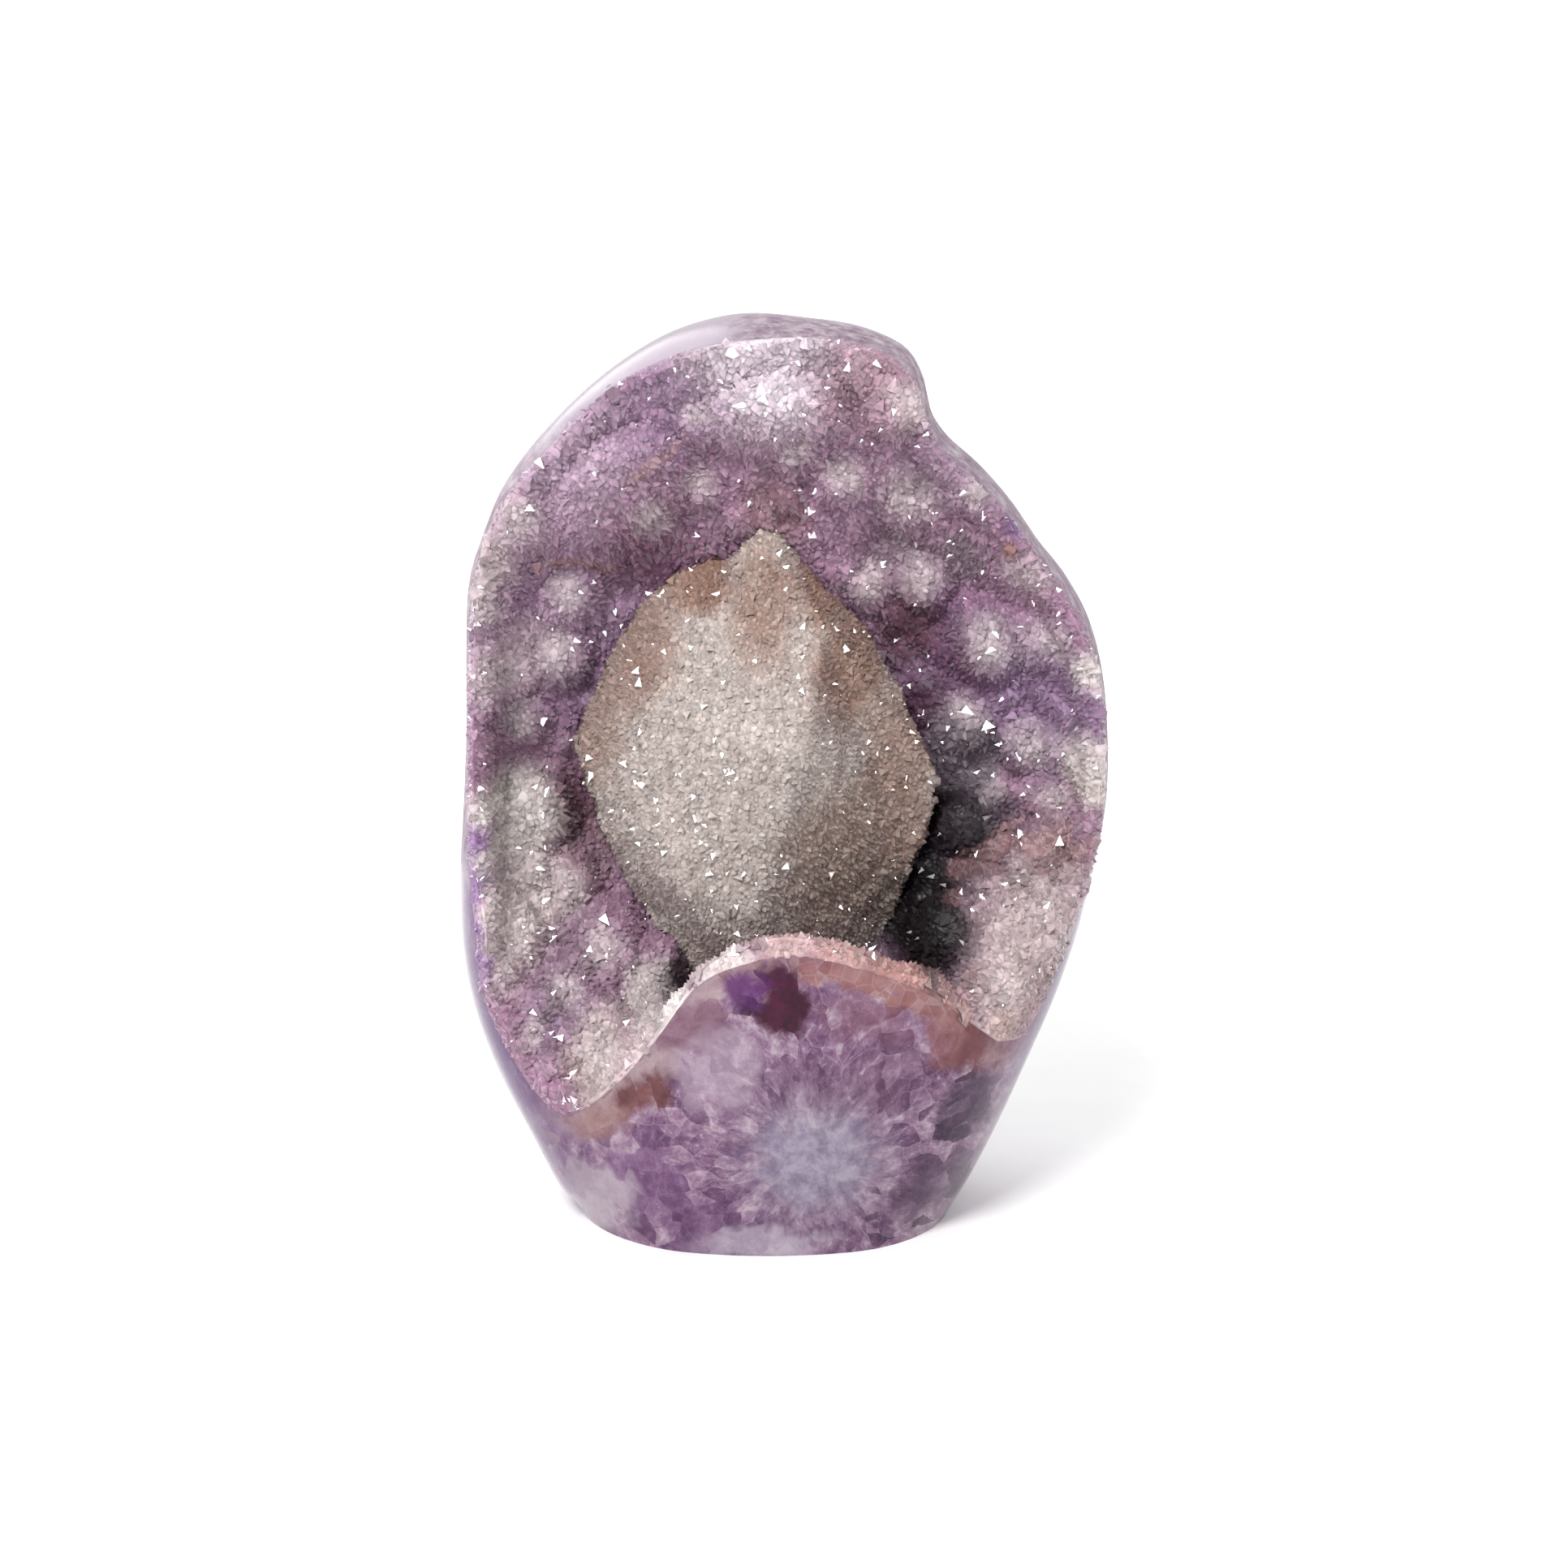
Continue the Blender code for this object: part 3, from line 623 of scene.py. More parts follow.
def first_face_up(crystal):
    """Turns a crystal so that its first sloping face lies level, a little above the ground."""
    face = next(face for face in crystal.data.polygons if face.normal.z > 0.1)
    level = face.normal.rotation_difference(Vector((0.0, 0.0, 1.0))).to_matrix().to_4x4()
    middle = level @ face.center
    crystal.data.transform(Matrix.Translation((-middle.x, -middle.y, GLINT_RISE - middle.z)) @ level)


# -------- colour


def linear(colour):
    """sRGB 0 to 255 as Blender's linear colour."""
    share = np.array(colour, float) / 255.0
    return np.where(share <= 0.04045, share / 12.92, ((share + 0.055) / 1.055) ** 2.4)


def shade(colour):
    return (*linear(colour), 1.0)


def fade(distance, start, end):
    """1 up to start, 0 from end on, smooth in between."""
    share = np.clip((end - distance) / (end - start), 0.0, 1.0)
    return share * share * (3.0 - 2.0 * share)


def blended(colours, target, weight):
    return colours + (linear(target) - colours) * weight[:, None]


def painted(colours, flat, regions, core, rim, share=1.0):
    """Paints round regions over the colours: full up to core times the radius, gone at rim times it."""
    for x, z, radius, colour, strength in regions:
        away = np.hypot(flat[:, 0] - x, flat[:, 1] - z)
        colours = blended(colours, colour, strength * share * fade(away, core * radius, rim * radius))
    return colours


def distance_to_line(points, start, end):
    start, end = np.array(start), np.array(end)
    along = end - start
    share = np.clip((points - start) @ along / (along @ along), 0.0, 1.0)
    return np.linalg.norm(points - start - share[:, None] * along, axis=1)


def druse_tints(points):
    """The crust's colour at each point, from its regions, lumps and veins as the front shows them, with
    painted shade and painted light among the regions.
    """
    flat = points[:, [0, 2]].copy()
    flat[:, 0] += 1.6 * wobble(points, 6.0, 3)
    flat[:, 1] += 1.6 * wobble(points, 6.0, 4)
    ahead = fade(points[:, 1], *LIP_EDGE)
    white = [(x, z, radius, LUMP_WHITE, LUMP_STRENGTH) for x, z, radius, _ in LUMPS]
    colours = np.tile(linear(DRUSE_GROUND), (len(points), 1))
    # The regions bring the crust's own colours, with painted shade round the calcite and painted light at the
    # hollow's top.
    colours = painted(colours, flat, DRUSE_REGIONS, 0.35, 1.15)
    colours = painted(colours, flat, white, 0.1, 0.85)
    # Painted shade in the hollow's deep places, with some of the crust's own colours, kept off the lip.
    colours = painted(colours, flat, HOLLOW_SHADE_AND_TONES, 0.45, 1.1, 1.0 - ahead)
    colours = painted(colours, flat, LIP_REGIONS, 0.45, 1.1, ahead)
    for start, end, width, colour in DRUSE_VEINS:
        away = distance_to_line(flat, start, end)
        colours = blended(colours, colour, VEIN_STRENGTH * fade(away, 0.3 * width, width))
    mottle = 1.0 + 0.16 * wobble(points, 2.6, 5) + 0.12 * wobble(points, 1.2, 6)
    return np.clip(colours * mottle[:, None], 0.0, 1.0)


def calcite_tints(points, settings):
    """The calcite's colour at each point: tan edges, partly stain and partly painted shade, a bright middle,
    and painted shade on the lower right.
    """
    flat = points[:, [0, 2]] + 1.4 * np.stack([wobble(points, 5.0, 13), wobble(points, 5.0, 14)], 1)
    colours = np.tile(np.array(settings.light[:]), (len(points), 1))
    for x, z, half_width, half_height, name, strength in CALCITE_REGIONS:
        away = np.hypot((flat[:, 0] - x) / half_width, (flat[:, 1] - z) / half_height)
        weight = strength * fade(away, 0.4, 1.15)
        colours = colours + (np.array(getattr(settings, name)[:]) - colours) * weight[:, None]
    mottle = 1.0 + 0.12 * wobble(points, 4.0, 15) + 0.12 * wobble(points, 1.4, 16)
    return np.clip(CALCITE_DEPTH * colours * mottle[:, None], 0.0, 1.0)


class Recipe:
    """Adds nodes to a tree one by one, each with its inputs set or linked."""

    def __init__(self, tree):
        self.tree = tree

    def add(self, kind, *values, out=0, **settings):
        named = settings.pop("inputs", {})
        node = self.tree.nodes.new(kind)
        for key, value in settings.items():
            setattr(node, key, value)
        for key, value in [*enumerate(values), *named.items()]:
            if isinstance(value, bpy.types.NodeSocket):
                self.tree.links.new(value, node.inputs[key])
            elif value is not None:
                node.inputs[key].default_value = value
        return node.outputs[out] if node.outputs else None

    def maths(self, operation, *values):
        return self.add("ShaderNodeMath", *values, operation=operation)

    def vectors(self, operation, *values, out=0):
        return self.add("ShaderNodeVectorMath", *values, operation=operation, out=out)

    def scaled(self, vector, factor):
        return self.vectors("SCALE", vector, None, None, factor)

    def total(self, first, *others):
        """Adds up values, each of them a value with its share."""
        result = self.maths("MULTIPLY", *first)
        for value, share in others:
            result = self.maths("ADD", result, self.maths("MULTIPLY", value, share))
        return result

    def swing(self, value, reach):
        """Makes a value around 0.5 one that goes to both sides of nothing."""
        return self.maths("MULTIPLY", self.maths("SUBTRACT", value, 0.5), reach)

    def product(self, first, *others):
        for value in others:
            first = self.maths("MULTIPLY", first, value)
        return first

    def attribute(self, name, out="Fac"):
        return self.add("ShaderNodeAttribute", out=out, attribute_name=name, attribute_type="GEOMETRY")

    def part(self, vector, index=0):
        return self.add("ShaderNodeSeparateXYZ", vector, out=index)

    def noise(self, place, scale, detail=3.0, roughness=0.5, out="Fac"):
        return self.add(
            "ShaderNodeTexNoise", out=out,
            inputs={"Vector": place, "Scale": scale, "Detail": detail, "Roughness": roughness},
        )

    def cells(self, place, scale, out="Color", feature="F1"):
        return self.add(
            "ShaderNodeTexVoronoi", out=out, feature=feature, inputs={"Vector": place, "Scale": scale}
        )

    def between(self, value, low, high, to_low=0.0, to_high=1.0):
        """Smoothly maps low..high of a value to another range."""
        return self.add(
            "ShaderNodeMapRange", value, low, high, to_low, to_high, interpolation_type="SMOOTHSTEP"
        )

    def mixed(self, share, first, second, blend="MIX"):
        return self.add(
            "ShaderNodeMix", data_type="RGBA", blend_type=blend, out=2,
            inputs={0: share, 6: first, 7: second},
        )

    def ramp(self, value, *stops):
        ramp = self.tree.nodes.new("ShaderNodeValToRGB")
        elements = ramp.color_ramp.elements
        while len(elements) < len(stops):
            elements.new(1.0)
        for element, (place, colour) in zip(elements, stops):
            element.position, element.color = place, shade(colour)
        self.tree.links.new(value, ramp.inputs[0])
        return ramp.outputs[0]


def new_material(name):
    material = bpy.data.materials.new(name)
    material.use_nodes = True
    material.node_tree.nodes.clear()
    return material, Recipe(material.node_tree)


def surface(recipe, colour, roughness, normal=None, **settings):
    """The finished surface: the shader with its colour, roughness and normal, and its other settings."""
    inputs = {"Base Color": colour, "Roughness": roughness, "Normal": normal}
    inputs.update({key.replace("_", " "): value for key, value in settings.items()})
    shader = recipe.add("ShaderNodeBsdfPrincipled", inputs=inputs)
    recipe.add("ShaderNodeOutputMaterial", shader)


def stone_place(recipe):
    """Object coordinates as the stone's own millimetres."""
    place = recipe.add("ShaderNodeTexCoord", out="Object")
    return recipe.vectors("SUBTRACT", recipe.scaled(place, 1.0 / MM), CENTRING)


def cloudy_skin(r, warped, clouds):
    """The skin all round: purple clouds with pale veins."""
    stone = r.ramp(
        clouds, (0.36, (92, 58, 98)), (0.46, (136, 98, 140)), (0.55, (172, 142, 170)), (0.66, (214, 196, 208))
    )
    veins = r.maths("ABSOLUTE", r.maths("SUBTRACT", r.noise(warped, 0.11, 8.0, 0.66), 0.5))
    return r.mixed(r.between(veins, 0.0, 0.02, 0.35, 0.0), stone, shade((222, 208, 216)))


def crystal_fan(r, place, drift, grit, clouds):
    """Crystals that radiate from one place in the window, seen end on in its hazy middle."""
    bent = r.vectors("ADD", place, r.scaled(drift, 2.4))
    out_of_fan = r.vectors("MULTIPLY", r.vectors("SUBTRACT", bent, FAN_CENTRE), (1.0, 0.0, 1.0))
    reach = r.vectors("LENGTH", out_of_fan, out=1)
    outwards = r.scaled((0.0, 1.0, 0.0), r.maths("MULTIPLY", reach, 0.30))
    spin = r.vectors("ADD", r.scaled(r.vectors("NORMALIZE", out_of_fan), 6.0), outwards)
    streaks = r.noise(spin, 0.9, 8.0, 0.7)
    fibres = r.noise(spin, 3.4, 6.0, 0.75)
    blade = r.add("ShaderNodeSeparateColor", r.cells(spin, 1.2))
    seams = r.cells(spin, 1.2, out="Distance", feature="DISTANCE_TO_EDGE")
    calm = r.total((clouds, 0.5), (grit, 0.5))
    tone = r.total((blade, 0.12), (streaks, 0.48), (grit, 0.20), (fibres, 0.20))
    tone = r.add(
        "ShaderNodeMix", r.between(reach, 2.0, 11.0), data_type="FLOAT", inputs={2: calm, 3: tone}
    )
    fan = r.ramp(
        tone, (0.39, (88, 50, 92)), (0.46, (134, 92, 132)), (0.53, (170, 132, 164)), (0.62, (222, 200, 214))
    )
    milk = r.mixed(r.between(tone, 0.40, 0.60), shade((142, 122, 146)), shade((206, 194, 210)))
    fan = r.mixed(r.between(reach, 2.0, 14.0, 0.8, 0.0), fan, milk)
    needles = r.product(r.between(fibres, 0.56, 0.68), r.between(reach, 6.0, 12.0), 0.5)
    fan = r.mixed(needles, fan, shade((226, 214, 226)))
    seams = r.product(r.between(seams, 0.0, 0.035, 0.22, 0.0), r.between(reach, 7.0, 12.0))
    return r.mixed(seams, fan, shade((224, 210, 220))), tone, streaks, fibres, blade


def crystal_lip(r, place, warped, grit):
    """Blunt pink and white crystals, as they lie in a band right under the crust."""
    chunk = r.add("ShaderNodeSeparateColor", r.cells(place, 0.55))
    seams = r.cells(place, 0.55, out="Distance", feature="DISTANCE_TO_EDGE")
    lip = r.mixed(r.between(r.part(warped), -9.0, 2.0), shade((202, 176, 184)), shade((198, 146, 142)))
    lip = r.mixed(r.between(chunk, 0.35, 0.9, 0.0, 0.55), lip, shade((214, 186, 190)))
    lip = r.mixed(r.between(chunk, 0.0, 0.3, 0.45, 0.0), lip, shade((164, 96, 92)))
    lip = r.mixed(r.between(seams, 0.0, 0.06, 0.35, 0.0), lip, shade((228, 210, 212)))
    return r.mixed(0.6, lip, r.ramp(grit, (0.35, (90, 90, 90)), (0.65, (180, 180, 180))), "SOFT_LIGHT")


def stained(r, fan, edge, ragged, tone):
    """Paints the stains, facets and clearer places over the fan."""
    for x, z, half_width, half_height, turn, colour, strength in STONE_PATCHES:
        where = r.add(
            "ShaderNodeMapping", edge, (x, 0.0, z), (0.0, -math.radians(turn), 0.0),
            (half_width, 1.0, half_height), vector_type="TEXTURE",
        )
        away = r.vectors("LENGTH", r.vectors("MULTIPLY", where, (1.0, 0.0, 1.0)), out=1)
        away = r.maths("ADD", away, ragged)
        grain = r.ramp(tone, (0.40, (70, 62, 70)), (0.58, (206, 206, 206)))
        paint = r.mixed(0.75, shade(colour), grain, "SOFT_LIGHT")
        fan = r.mixed(r.between(away, 0.6, 1.2, strength, 0.0), fan, paint)
    return fan


def polished_amethyst():
    """Polished purple quartz: clouds and pale veins all round, and the sawn fan of crystals in front."""
    material, r = new_material("polished_amethyst")
    place = stone_place(r)
    drift = r.vectors("SUBTRACT", r.noise(place, 0.16, 3.0, 0.6, out="Color"), (0.5, 0.5, 0.5))
    warped = r.vectors("ADD", place, r.scaled(drift, 5.0))
    grit = r.noise(place, 0.55, 8.0, 0.72)
    clouds = r.total((r.noise(warped, 0.075, 8.0, 0.66), 0.75), (grit, 0.25))
    edge_distance = r.attribute("rim")
    stone = cloudy_skin(r, warped, clouds)

    # The window: the fan, the lip along its upper edge, and the stains.
    fan, tone, streaks, fibres, blade = crystal_fan(r, place, drift, grit, clouds)
    rim = r.maths("ADD", r.maths("ADD", edge_distance, r.swing(blade, 2.8)), r.swing(grit, 2.4))
    fan = r.mixed(r.between(rim, 2.0, 4.2, 0.9, 0.0), fan, crystal_lip(r, place, warped, grit))
    ragged = r.maths("ADD", r.swing(streaks, 1.0), r.swing(blade, 0.55))
    fan = stained(r, fan, r.vectors("ADD", place, r.scaled(drift, 7.0)), ragged, tone)

    # The polished skin: violet low flanks, a pale top, a frosted edge along the hollow, and pits.
    across, depth, height = (r.part(place, i) for i in range(3))
    leaning = r.maths("MULTIPLY", r.maths("SUBTRACT", height, SKIN_CENTRE_Z), LEAN_BACK)
    behind = r.maths("SUBTRACT", depth, leaning)
    uneven = r.maths("ADD", height, r.swing(clouds, 60.0))
    flank = r.product(
        r.between(uneven, 36.0, 56.0, 1.0, 0.0), r.between(behind, -14.0, 4.0, 1.0, 0.0),
        r.between(clouds, 0.44, 0.60, 0.75, 0.15),
    )
    stone = r.mixed(flank, stone, shade((112, 62, 134)))
    stone = r.mixed(r.between(height, 92.0, 108.0, 0.0, 0.8), stone, shade((228, 212, 228)))
    polished = r.product(r.between(across, -10.0, -2.0, 1.0, 0.0), r.between(height, 90.0, 98.0))
    frost = r.product(
        r.between(edge_distance, 2.0, 6.0, 1.0, 0.0), r.between(height, 40.0, 48.0),
        r.between(behind, -4.0, 6.0, 1.0, 0.0), r.maths("SUBTRACT", 1.0, polished),
    )
    rime = r.ramp(grit, (0.36, (150, 118, 146)), (0.5, (192, 168, 186)), (0.64, (232, 222, 228)))
    stone = r.mixed(frost, stone, rime)
    pit = r.product(
        r.between(r.cells(place, 0.21, out="Distance"), 0.05, 0.09, 0.8, 0.0),
        r.between(r.noise(place, 0.12, 2.0), 0.48, 0.6),
    )
    stone = r.mixed(pit, stone, shade((104, 74, 66)))
    colour = r.mixed(r.attribute("window"), stone, fan)
    colour = r.mixed(1.0, colour, (STONE_DEPTH,) * 3 + (1.0,), "MULTIPLY")

    gloss = r.between(r.noise(place, 0.6, 4.0, 0.7), 0.35, 0.8, 0.04, 0.14)
    roughness = r.maths("ADD", gloss, r.maths("MULTIPLY", frost, 0.5))
    relief = r.total((grit, 1.0), (fibres, 0.3))
    surface(
        r, colour, roughness,
        r.add("ShaderNodeBump", inputs={"Strength": 1.0, "Distance": SKIN_RELIEF * MM, "Height": relief}),
        IOR=1.33, Subsurface_Weight=0.2, Subsurface_Radius=(1.0, 0.7, 1.0), Subsurface_Scale=0.0015,
    )
    return material


def quartz_druse(name, milkiness, gloss=1.0):
    """Fine quartz: soft light from within, and with gloss a glint off every facet."""
    material, r = new_material(name)
    place = stone_place(r)
    tint = r.attribute("tint", "Color")
    facet = r.add("ShaderNodeNewGeometry", out="Normal")
    calm = r.vectors("NORMALIZE", r.vectors("ADD", r.scaled(r.attribute("ground", "Vector"), 3.0), facet))
    cloudiness = r.product(
        r.between(r.noise(place, 1.3, 5.0, 0.65), 0.3, 0.75, 0.8, 1.3),
        r.between(r.attribute("spark"), 0.0, 1.0, 0.82, 1.0 + milkiness),
    )
    lightness = r.vectors("DOT_PRODUCT", tint, (0.33, 0.34, 0.33), out=1)
    surface(
        r, r.scaled(tint, cloudiness), r.between(r.noise(place, 3.0, 2.0), 0.3, 0.7, 0.3, 0.5), calm,
        IOR=1.4, Specular_IOR_Level=0.2, Subsurface_Weight=0.4, Subsurface_Radius=(1.0, 0.8, 0.95),
        Subsurface_Scale=0.0012, Coat_Weight=r.between(lightness, 0.01, 0.10, 0.2 * gloss, gloss),
        Coat_Roughness=0.06, Coat_IOR=1.6,
    )
    return material


def crystal_templates(name, shapes, level):
    """A collection of quartz crystals to grow from, each with a face turned up if they lie level."""
    collection = bpy.data.collections.new(name)
    bpy.context.scene.collection.children.link(collection)
    for i, shape in enumerate(shapes):
        crystal = quartz_tip(f"{name}_{i}", *shape)
        if level:
            first_face_up(crystal)
        for home in list(crystal.users_collection):
            home.objects.unlink(crystal)
        collection.objects.link(crystal)
    return collection


def grow_crystals(source, name, shapes, where, spacing, small, large, tilt, seed, facing=None):
    """Strews crystals where an attribute of the surface says, out of it or facing one way, as one mesh."""
    templates = crystal_templates(name + "_shapes", shapes, level=bool(facing))
    coat = copy_of(source, name)
    tree = bpy.data.node_groups.new(name + "_growth", "GeometryNodeTree")
    for in_out in ("INPUT", "OUTPUT"):
        tree.interface.new_socket("Geometry", in_out=in_out, socket_type="NodeSocketGeometry")
    r = Recipe(tree)
    vigour = r.add("GeometryNodeInputNamedAttribute", "vigour", data_type="FLOAT")
    grows = r.add("GeometryNodeInputNamedAttribute", where, data_type="FLOAT")
    points = r.add(
        "GeometryNodeDistributePointsOnFaces", distribute_method="POISSON",
        inputs={
            "Mesh": r.add("NodeGroupInput"), "Density Factor": grows, "Distance Min": spacing,
            "Density Max": 3.0 / spacing**2, "Seed": seed,
        },
    )
    tilt = math.radians(tilt)
    lean = r.add(
        "FunctionNodeRandomValue", data_type="FLOAT_VECTOR",
        inputs={0: (-tilt, -tilt, -math.pi), 1: (tilt, tilt, math.pi), "Seed": seed + 1},
    )
    if facing:
        stance = r.add("FunctionNodeAlignRotationToVector", axis="Z", inputs={"Vector": facing})
    else:
        stance = points.node.outputs["Rotation"]
    stance = r.add(
        "FunctionNodeRotateRotation", rotation_space="LOCAL",
        inputs={"Rotation": stance, "Rotate By": r.add("FunctionNodeEulerToRotation", lean)},
    )
    size = r.add("FunctionNodeRandomValue", out=1, inputs={2: 0.0, 3: 1.0, "Seed": seed + 2})
    size = r.add("ShaderNodeMapRange", r.maths("POWER", size, 1.8), 0.0, 1.0, small, large)
    stand = r.add(
        "GeometryNodeInstanceOnPoints",
        inputs={
            "Points": points, "Instance": r.add("GeometryNodeCollectionInfo", templates, True, True),
            "Pick Instance": True, "Rotation": stance, "Scale": r.maths("MULTIPLY", size, vigour),
        },
    )
    chance = r.add("FunctionNodeRandomValue", out=1, inputs={2: 0.0, 3: 1.0, "Seed": seed + 3})
    marked = r.add(
        "GeometryNodeStoreNamedAttribute", data_type="FLOAT", domain="INSTANCE",
        inputs={"Geometry": stand, "Name": "spark", "Value": chance},
    )
    r.add("NodeGroupOutput", r.add("GeometryNodeRealizeInstances", marked))
    modify(coat, "NODES", node_group=tree)
    bpy.data.node_groups.remove(tree)
    remove(*templates.objects)
    bpy.data.collections.remove(templates)
    return coat


def crystal_coat(source, name, tips, glints):
    """Quartz tips all over a surface, and among them facets that catch the light, as one piece."""
    tips = grow_crystals(source, name, TIPS, "grows", **tips)
    glints = grow_crystals(
        source, name + "_glints", GLINTS, "glints", tilt=GLINT_TILT, facing=CATCHES_LIGHT, **glints
    )
    return join([tips, glints])


# -------- what a user can change


class StoneSettings(bpy.types.PropertyGroup):
    segments: bpy.props.IntProperty(
        name="Segments", description="Divisions of the polished stone all round", default=320, min=32,
        max=640,
    )
    rings: bpy.props.IntProperty(
        name="Rings", description="Divisions of the polished stone from front to back", default=150,
        min=16, max=320,
    )


class DruseSettings(bpy.types.PropertyGroup):
    grain: bpy.props.FloatProperty(
        name="Grain", description="Fineness of the crust's skin", default=0.00055, min=0.0002, max=0.003,
        precision=5, unit="LENGTH", subtype="DISTANCE",
    )
    lumps: bpy.props.IntProperty(
        name="Small lumps", description="How many little lumps grow between the large ones",
        default=150, min=0,
    )
    spacing: bpy.props.FloatProperty(
        name="Spacing", description="Least distance between two crystals of the crust", default=0.0006,
        min=0.0003, max=0.01, precision=5, unit="LENGTH", subtype="DISTANCE",
    )
    small: bpy.props.FloatProperty(
        name="Small crystals", description="Height of the smallest crystals", default=0.00075,
        min=0.0001, max=0.01, precision=5, unit="LENGTH", subtype="DISTANCE",
    )
    large: bpy.props.FloatProperty(
        name="Large crystals", description="Height of the largest crystals", default=0.0018,
        min=0.0001, max=0.01, precision=5, unit="LENGTH", subtype="DISTANCE",
    )


class CalciteSettings(bpy.types.PropertyGroup):
    light: bpy.props.FloatVectorProperty(
        name="Light faces", description="Colour of the calcite's bright faces",
        default=tuple(linear((212, 196, 190))), size=3, min=0.0, max=1.0, subtype="COLOR",
    )
    # Painted shade: a darker copy of the faces' colour, where the lower right face lies in shade.
    dark: bpy.props.FloatVectorProperty(
        name="Dark faces", description="Colour of the calcite's shaded lower face",
        default=tuple(linear((190, 164, 152))), size=3, min=0.0, max=1.0, subtype="COLOR",
    )
    # Partly stain along the edges, partly painted shade on the upper faces and beside the point.
    tan: bpy.props.FloatVectorProperty(
        name="Tan edges", description="Colour of the calcite's stained edges",
        default=tuple(linear((168, 132, 116))), size=3, min=0.0, max=1.0, subtype="COLOR",
    )
    spacing: bpy.props.FloatProperty(
        name="Spacing", description="Least distance between two crystals of the coat", default=0.00055,
        min=0.0003, max=0.01, precision=5, unit="LENGTH", subtype="DISTANCE",
    )


class StudioSettings(bpy.types.PropertyGroup):
    distance: bpy.props.FloatProperty(
        name="Camera distance", description="From the camera to the stone", default=0.7, unit="LENGTH",
        subtype="DISTANCE",
    )
    elevation: bpy.props.FloatProperty(
        name="Camera height", description="Angle of the camera above the floor", default=math.radians(12.0),
        unit="ROTATION", subtype="ANGLE",
    )
    floor: bpy.props.FloatVectorProperty(
        name="Floor", description="Colour of the floor", default=(0.9, 0.9, 0.9), size=3, min=0.0, max=1.0,
        subtype="COLOR",
    )
    daylight: bpy.props.FloatProperty(
        name="Room light", description="Strength of the even white light from all round", default=0.8, min=0.0
    )


# -------- the makers


class AMETHYST_OT_polished_body(bpy.types.Operator):
    """Makes the polished stone with its sawn base, its fan of crystals and the hollow cut into its front"""

    bl_idname = "amethyst.polished_body"
    bl_label = "Polished stone"

    def execute(self, context):
        body = whole_stone("polished_stone", context.scene.amethyst_stone)
        hollow = open_hollow("hollow_cutter", 0.0)
        cut(body, hollow, "DIFFERENCE")
        remove(hollow)
        x, y, z = vertex_places(body).T
        lip = closed_curve(HOLLOW_RIM)
        store(body, "rim", np.array([np.min(np.hypot(*(lip - place).T)) for place in np.stack([x, z], 1)]))
        store(body, "window", fade(y, *WINDOW_FRONT) * fade(z, *WINDOW_TOP) * fade(np.abs(x), *WINDOW_SIDE))
        settle(body)
        finish_piece(body, polished_amethyst(), "amethyst_body")
        return {"FINISHED"}


class AMETHYST_OT_druse_crust(bpy.types.Operator):
    """Makes the crust of quartz that lines the hollow, and the crystals that stand on it"""

    bl_idname = "amethyst.druse_crust"
    bl_label = "Quartz crust"

    def execute(self, context):
        settings = context.scene.amethyst_druse
        rng = np.random.default_rng(LUMP_SEED)
        crust = crust_form("druse_crust", settings.grain / MM, settings.lumps, rng)
        space = open_hollow("open_space", CRUST_GAP)
        stone = whole_stone("stone_cutter", context.scene.amethyst_stone)
        for form, grown, sawn in ((crust, 1.0, 0.0), (space, 0.0, 0.0), (stone, 0.0, 1.0)):
            store(form, "grown", np.full(len(form.data.vertices), grown))
            store(form, "sawn", np.full(len(form.data.vertices), sawn))
        cut(crust, space, "INTERSECT")
        cut(crust, stone, "INTERSECT")
        remove(space, stone)
        grown, sawn = stored(crust, "grown"), stored(crust, "sawn")
        places = vertex_places(crust)
        grows = np.maximum(grown > 0.6, sawn > 0.6)
        inside = 1.0 - fade(places[:, 1], *LIP_EDGE)
        vigour = (1.0 + 0.3 * wobble(places, 7.0, 8)) * (1.0 - 0.4 * sawn)
        note_growth(crust, DRUSE_DEPTH * druse_tints(places), grows, grows * inside, vigour)
        settle(crust)
        tips = {
            "spacing": settings.spacing, "small": settings.small, "large": settings.large,
            "tilt": DRUSE_TILT, "seed": DRUSE_SEED,
        }
        crystals = crystal_coat(crust, "druse_crystals", tips, DRUSE_GLINTS)
        ground = quartz_druse("quartz_ground", DRUSE_MILK, gloss=0.0)
        finish_piece(crust, ground, "quartz_druse_crust")
        finish_piece(crystals, quartz_druse("quartz_druse", DRUSE_MILK), smooth=False)
        return {"FINISHED"}


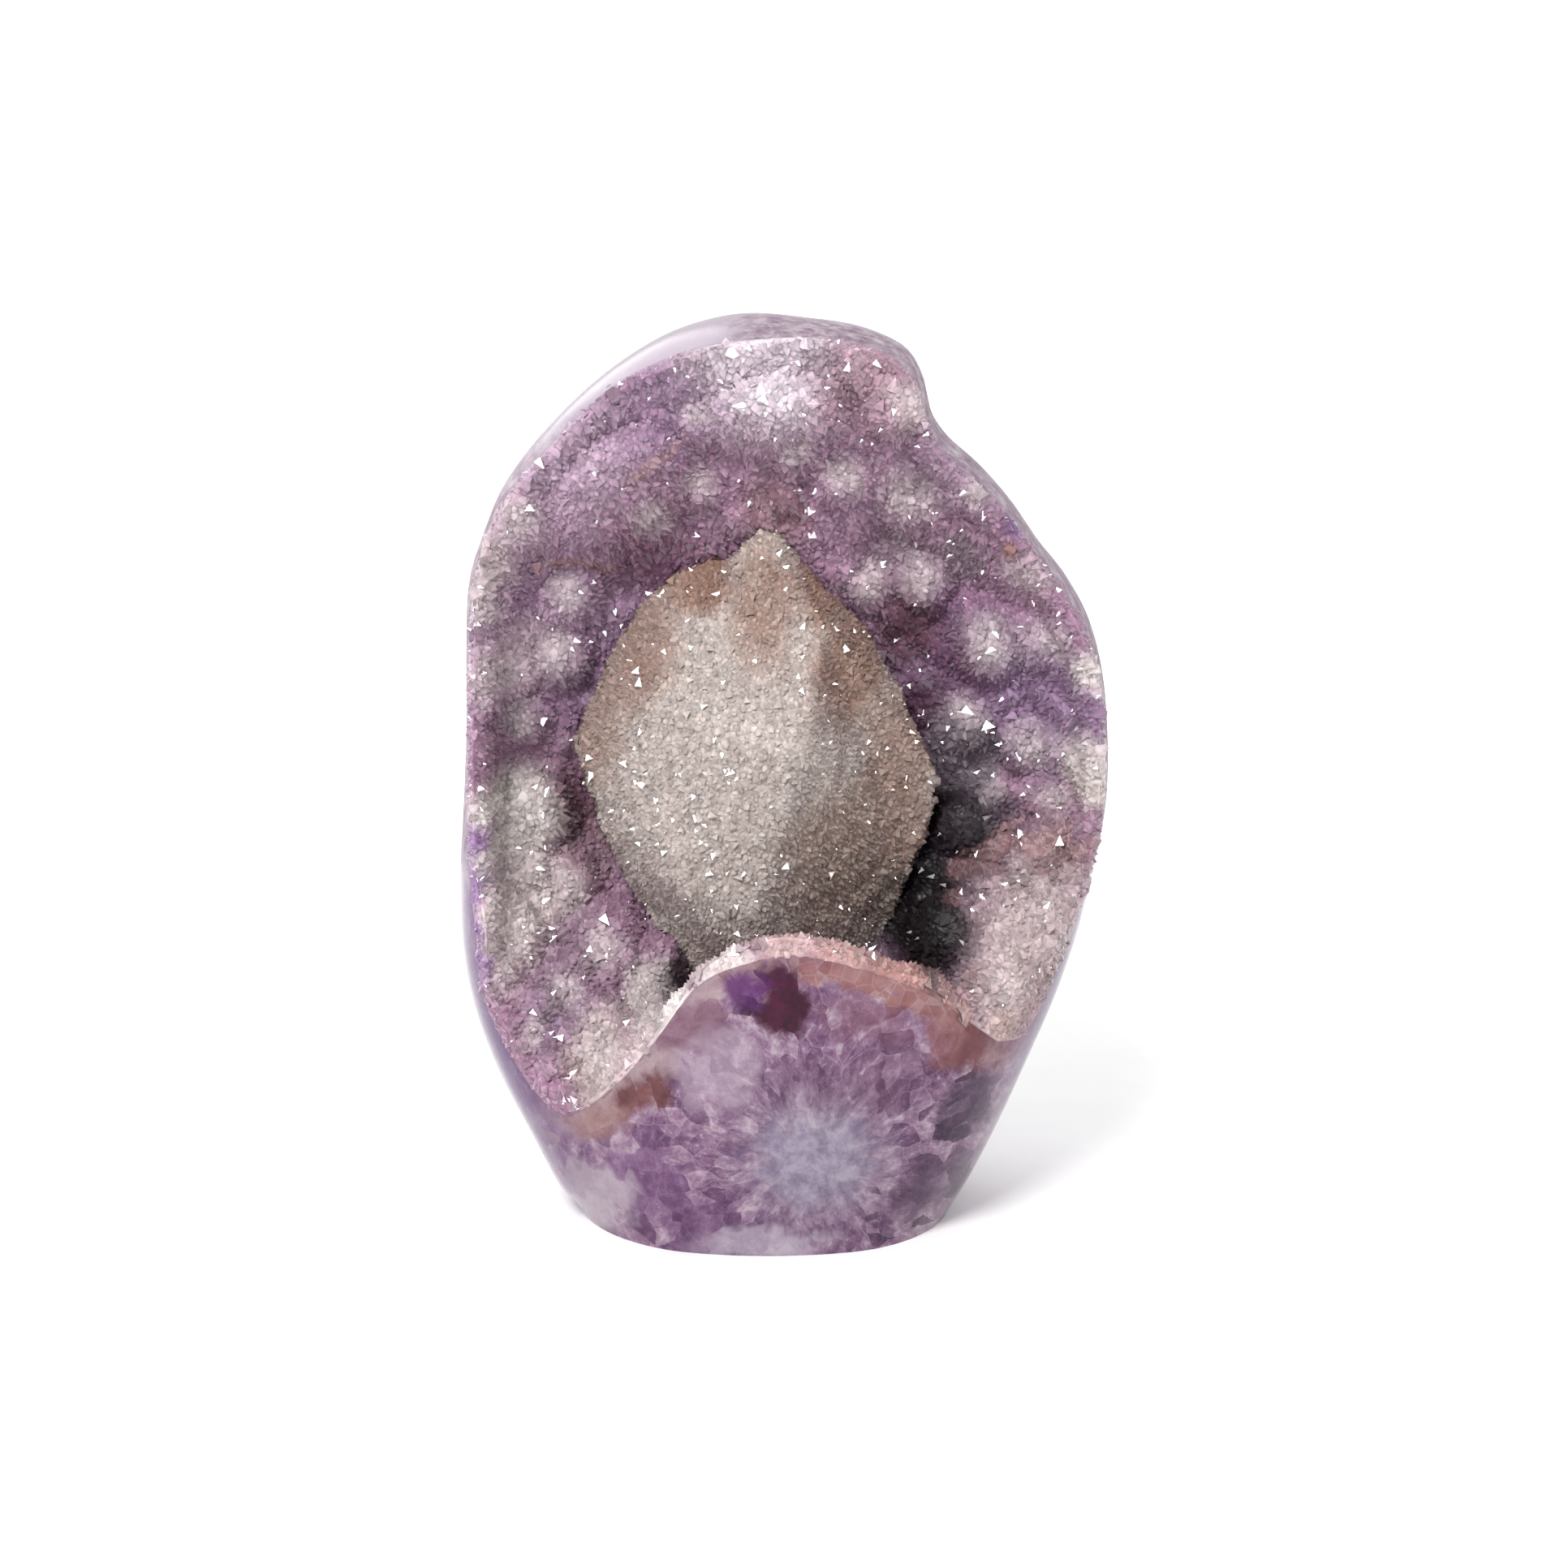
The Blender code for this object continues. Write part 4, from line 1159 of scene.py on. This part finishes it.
class AMETHYST_OT_calcite(bpy.types.Operator):
    """Makes the calcite crystal and the fine quartz that coats it"""

    bl_idname = "amethyst.calcite"
    bl_label = "Coated calcite"

    def execute(self, context):
        settings = context.scene.amethyst_calcite
        tips = {"spacing": settings.spacing, **COAT_TIPS}
        calcite = flat_faced("coated_calcite", CALCITE_CORNERS + CALCITE_SHOULDERS)
        calcite = join([calcite, flat_faced("calcite_spire", SPIRE_CORNERS)])
        modify(calcite, "REMESH", mode="VOXEL", voxel_size=CALCITE_GRAIN)
        roughen(calcite, (0.3, 3.0, 11), (0.18, 1.3, 12))
        space = open_hollow("open_space", CALCITE_GAP)
        cut(calcite, space, "INTERSECT")
        remove(space)
        places = vertex_places(calcite)
        grows = places[:, 1] < CALCITE_BACK_Y
        note_growth(calcite, calcite_tints(places, settings), grows, grows, np.ones(len(places)))
        settle(calcite)
        coat = crystal_coat(calcite, "calcite_crystals", tips, COAT_GLINTS)
        ground = quartz_druse("calcite_ground", COAT_MILK, gloss=0.0)
        finish_piece(calcite, ground, "calcite_crystal")
        finish_piece(coat, quartz_druse("coated_calcite", COAT_MILK), smooth=False)
        return {"FINISHED"}


class AMETHYST_OT_stage(bpy.types.Operator):
    """Sets up the pale floor, the soft lights and the camera"""

    bl_idname = "amethyst.stage"
    bl_label = "Studio"

    def execute(self, context):
        settings = context.scene.amethyst_studio
        floor = primitive("circle", "floor", vertices=96, radius=4.0, fill_type="NGON")
        material, r = new_material("floor_paint")
        place = r.add("ShaderNodeTexCoord", out="Object")
        tone = r.between(r.noise(place, 60.0, 4.0, 0.6), 0.3, 0.7, 0.97, 1.0)
        paint = r.mixed(1.0, (*settings.floor, 1.0), tone, "MULTIPLY")
        surface(r, paint, 0.6)
        floor.data.materials.append(material)

        world = bpy.data.worlds.new("room")
        context.scene.world = world
        world.use_nodes = True
        background = world.node_tree.nodes["Background"]
        background.inputs["Color"].default_value = (1.0, 1.0, 1.0, 1.0)
        background.inputs["Strength"].default_value = settings.daylight

        self.lamp(context, "key_light", "SUN", (-0.22, -0.60, 0.56), 3.0, angle=math.radians(20.0))
        self.lamp(context, "left_panel", "AREA", (-0.85, 0.10, 0.40), 1.0, size=0.9)
        self.lamp(context, "back_panel", "AREA", (-0.62, 0.80, 0.60), 7.0, size=1.1)
        self.lamp(context, "right_panel", "AREA", (0.85, 0.15, 0.35), 2.4, size=0.7)
        self.camera(context, settings)
        context.scene.view_settings.view_transform = "Standard"
        return {"FINISHED"}

    def lamp(self, context, name, kind, place, energy, **settings):
        """A light at a place seen from the stone's middle, which shines back on the stone."""
        light = bpy.data.lights.new(name, kind)
        light.energy = energy
        for key, value in settings.items():
            setattr(light, key, value)
        stand = bpy.data.objects.new(name, light)
        stand.location = AIM + Vector(place)
        stand.rotation_euler = Vector(place).to_track_quat("Z", "Y").to_euler()
        context.scene.collection.objects.link(stand)

    def camera(self, context, settings):
        """A camera that sees VIEW_WIDTH of the stone's surroundings, whatever its distance."""
        camera = bpy.data.cameras.new("camera")
        camera.sensor_width = SENSOR_MM
        camera.lens = SENSOR_MM * settings.distance / VIEW_WIDTH
        eye = bpy.data.objects.new("camera", camera)
        back = Vector((0.0, -math.cos(settings.elevation), math.sin(settings.elevation)))
        eye.location = AIM + settings.distance * back
        eye.rotation_euler = back.to_track_quat("Z", "Y").to_euler()
        context.scene.collection.objects.link(eye)
        context.scene.camera = eye


class AMETHYST_PT_specimen(bpy.types.Panel):
    """Lists the makers of the stone's pieces"""

    bl_idname = "AMETHYST_PT_specimen"
    bl_label = "Amethyst with calcite"
    bl_space_type = "VIEW_3D"
    bl_region_type = "UI"
    bl_category = "Amethyst"

    def draw(self, context):
        for maker, settings in MAKERS:
            box = self.layout.box()
            box.operator(maker.bl_idname)
            group = getattr(context.scene, settings)
            for prop in group.bl_rna.properties:
                if prop.identifier not in {"rna_type", "name"}:
                    box.prop(group, prop.identifier)


SETTINGS = {
    "amethyst_stone": StoneSettings, "amethyst_druse": DruseSettings, "amethyst_calcite": CalciteSettings,
    "amethyst_studio": StudioSettings,
}
MAKERS = (
    (AMETHYST_OT_stage, "amethyst_studio"), (AMETHYST_OT_polished_body, "amethyst_stone"),
    (AMETHYST_OT_druse_crust, "amethyst_druse"), (AMETHYST_OT_calcite, "amethyst_calcite"),
)
CLASSES = (*SETTINGS.values(), *(maker for maker, _ in MAKERS), AMETHYST_PT_specimen)


def register():
    for cls in CLASSES:
        bpy.utils.register_class(cls)
    for name, group in SETTINGS.items():
        setattr(bpy.types.Scene, name, bpy.props.PointerProperty(type=group))


def unregister():
    for name in SETTINGS:
        delattr(bpy.types.Scene, name)
    for cls in reversed(CLASSES):
        bpy.utils.unregister_class(cls)


def main():
    register()
    bpy.ops.amethyst.stage()
    bpy.ops.amethyst.polished_body()
    bpy.ops.amethyst.druse_crust()
    bpy.ops.amethyst.calcite()


if __name__ == "__main__":
    main()
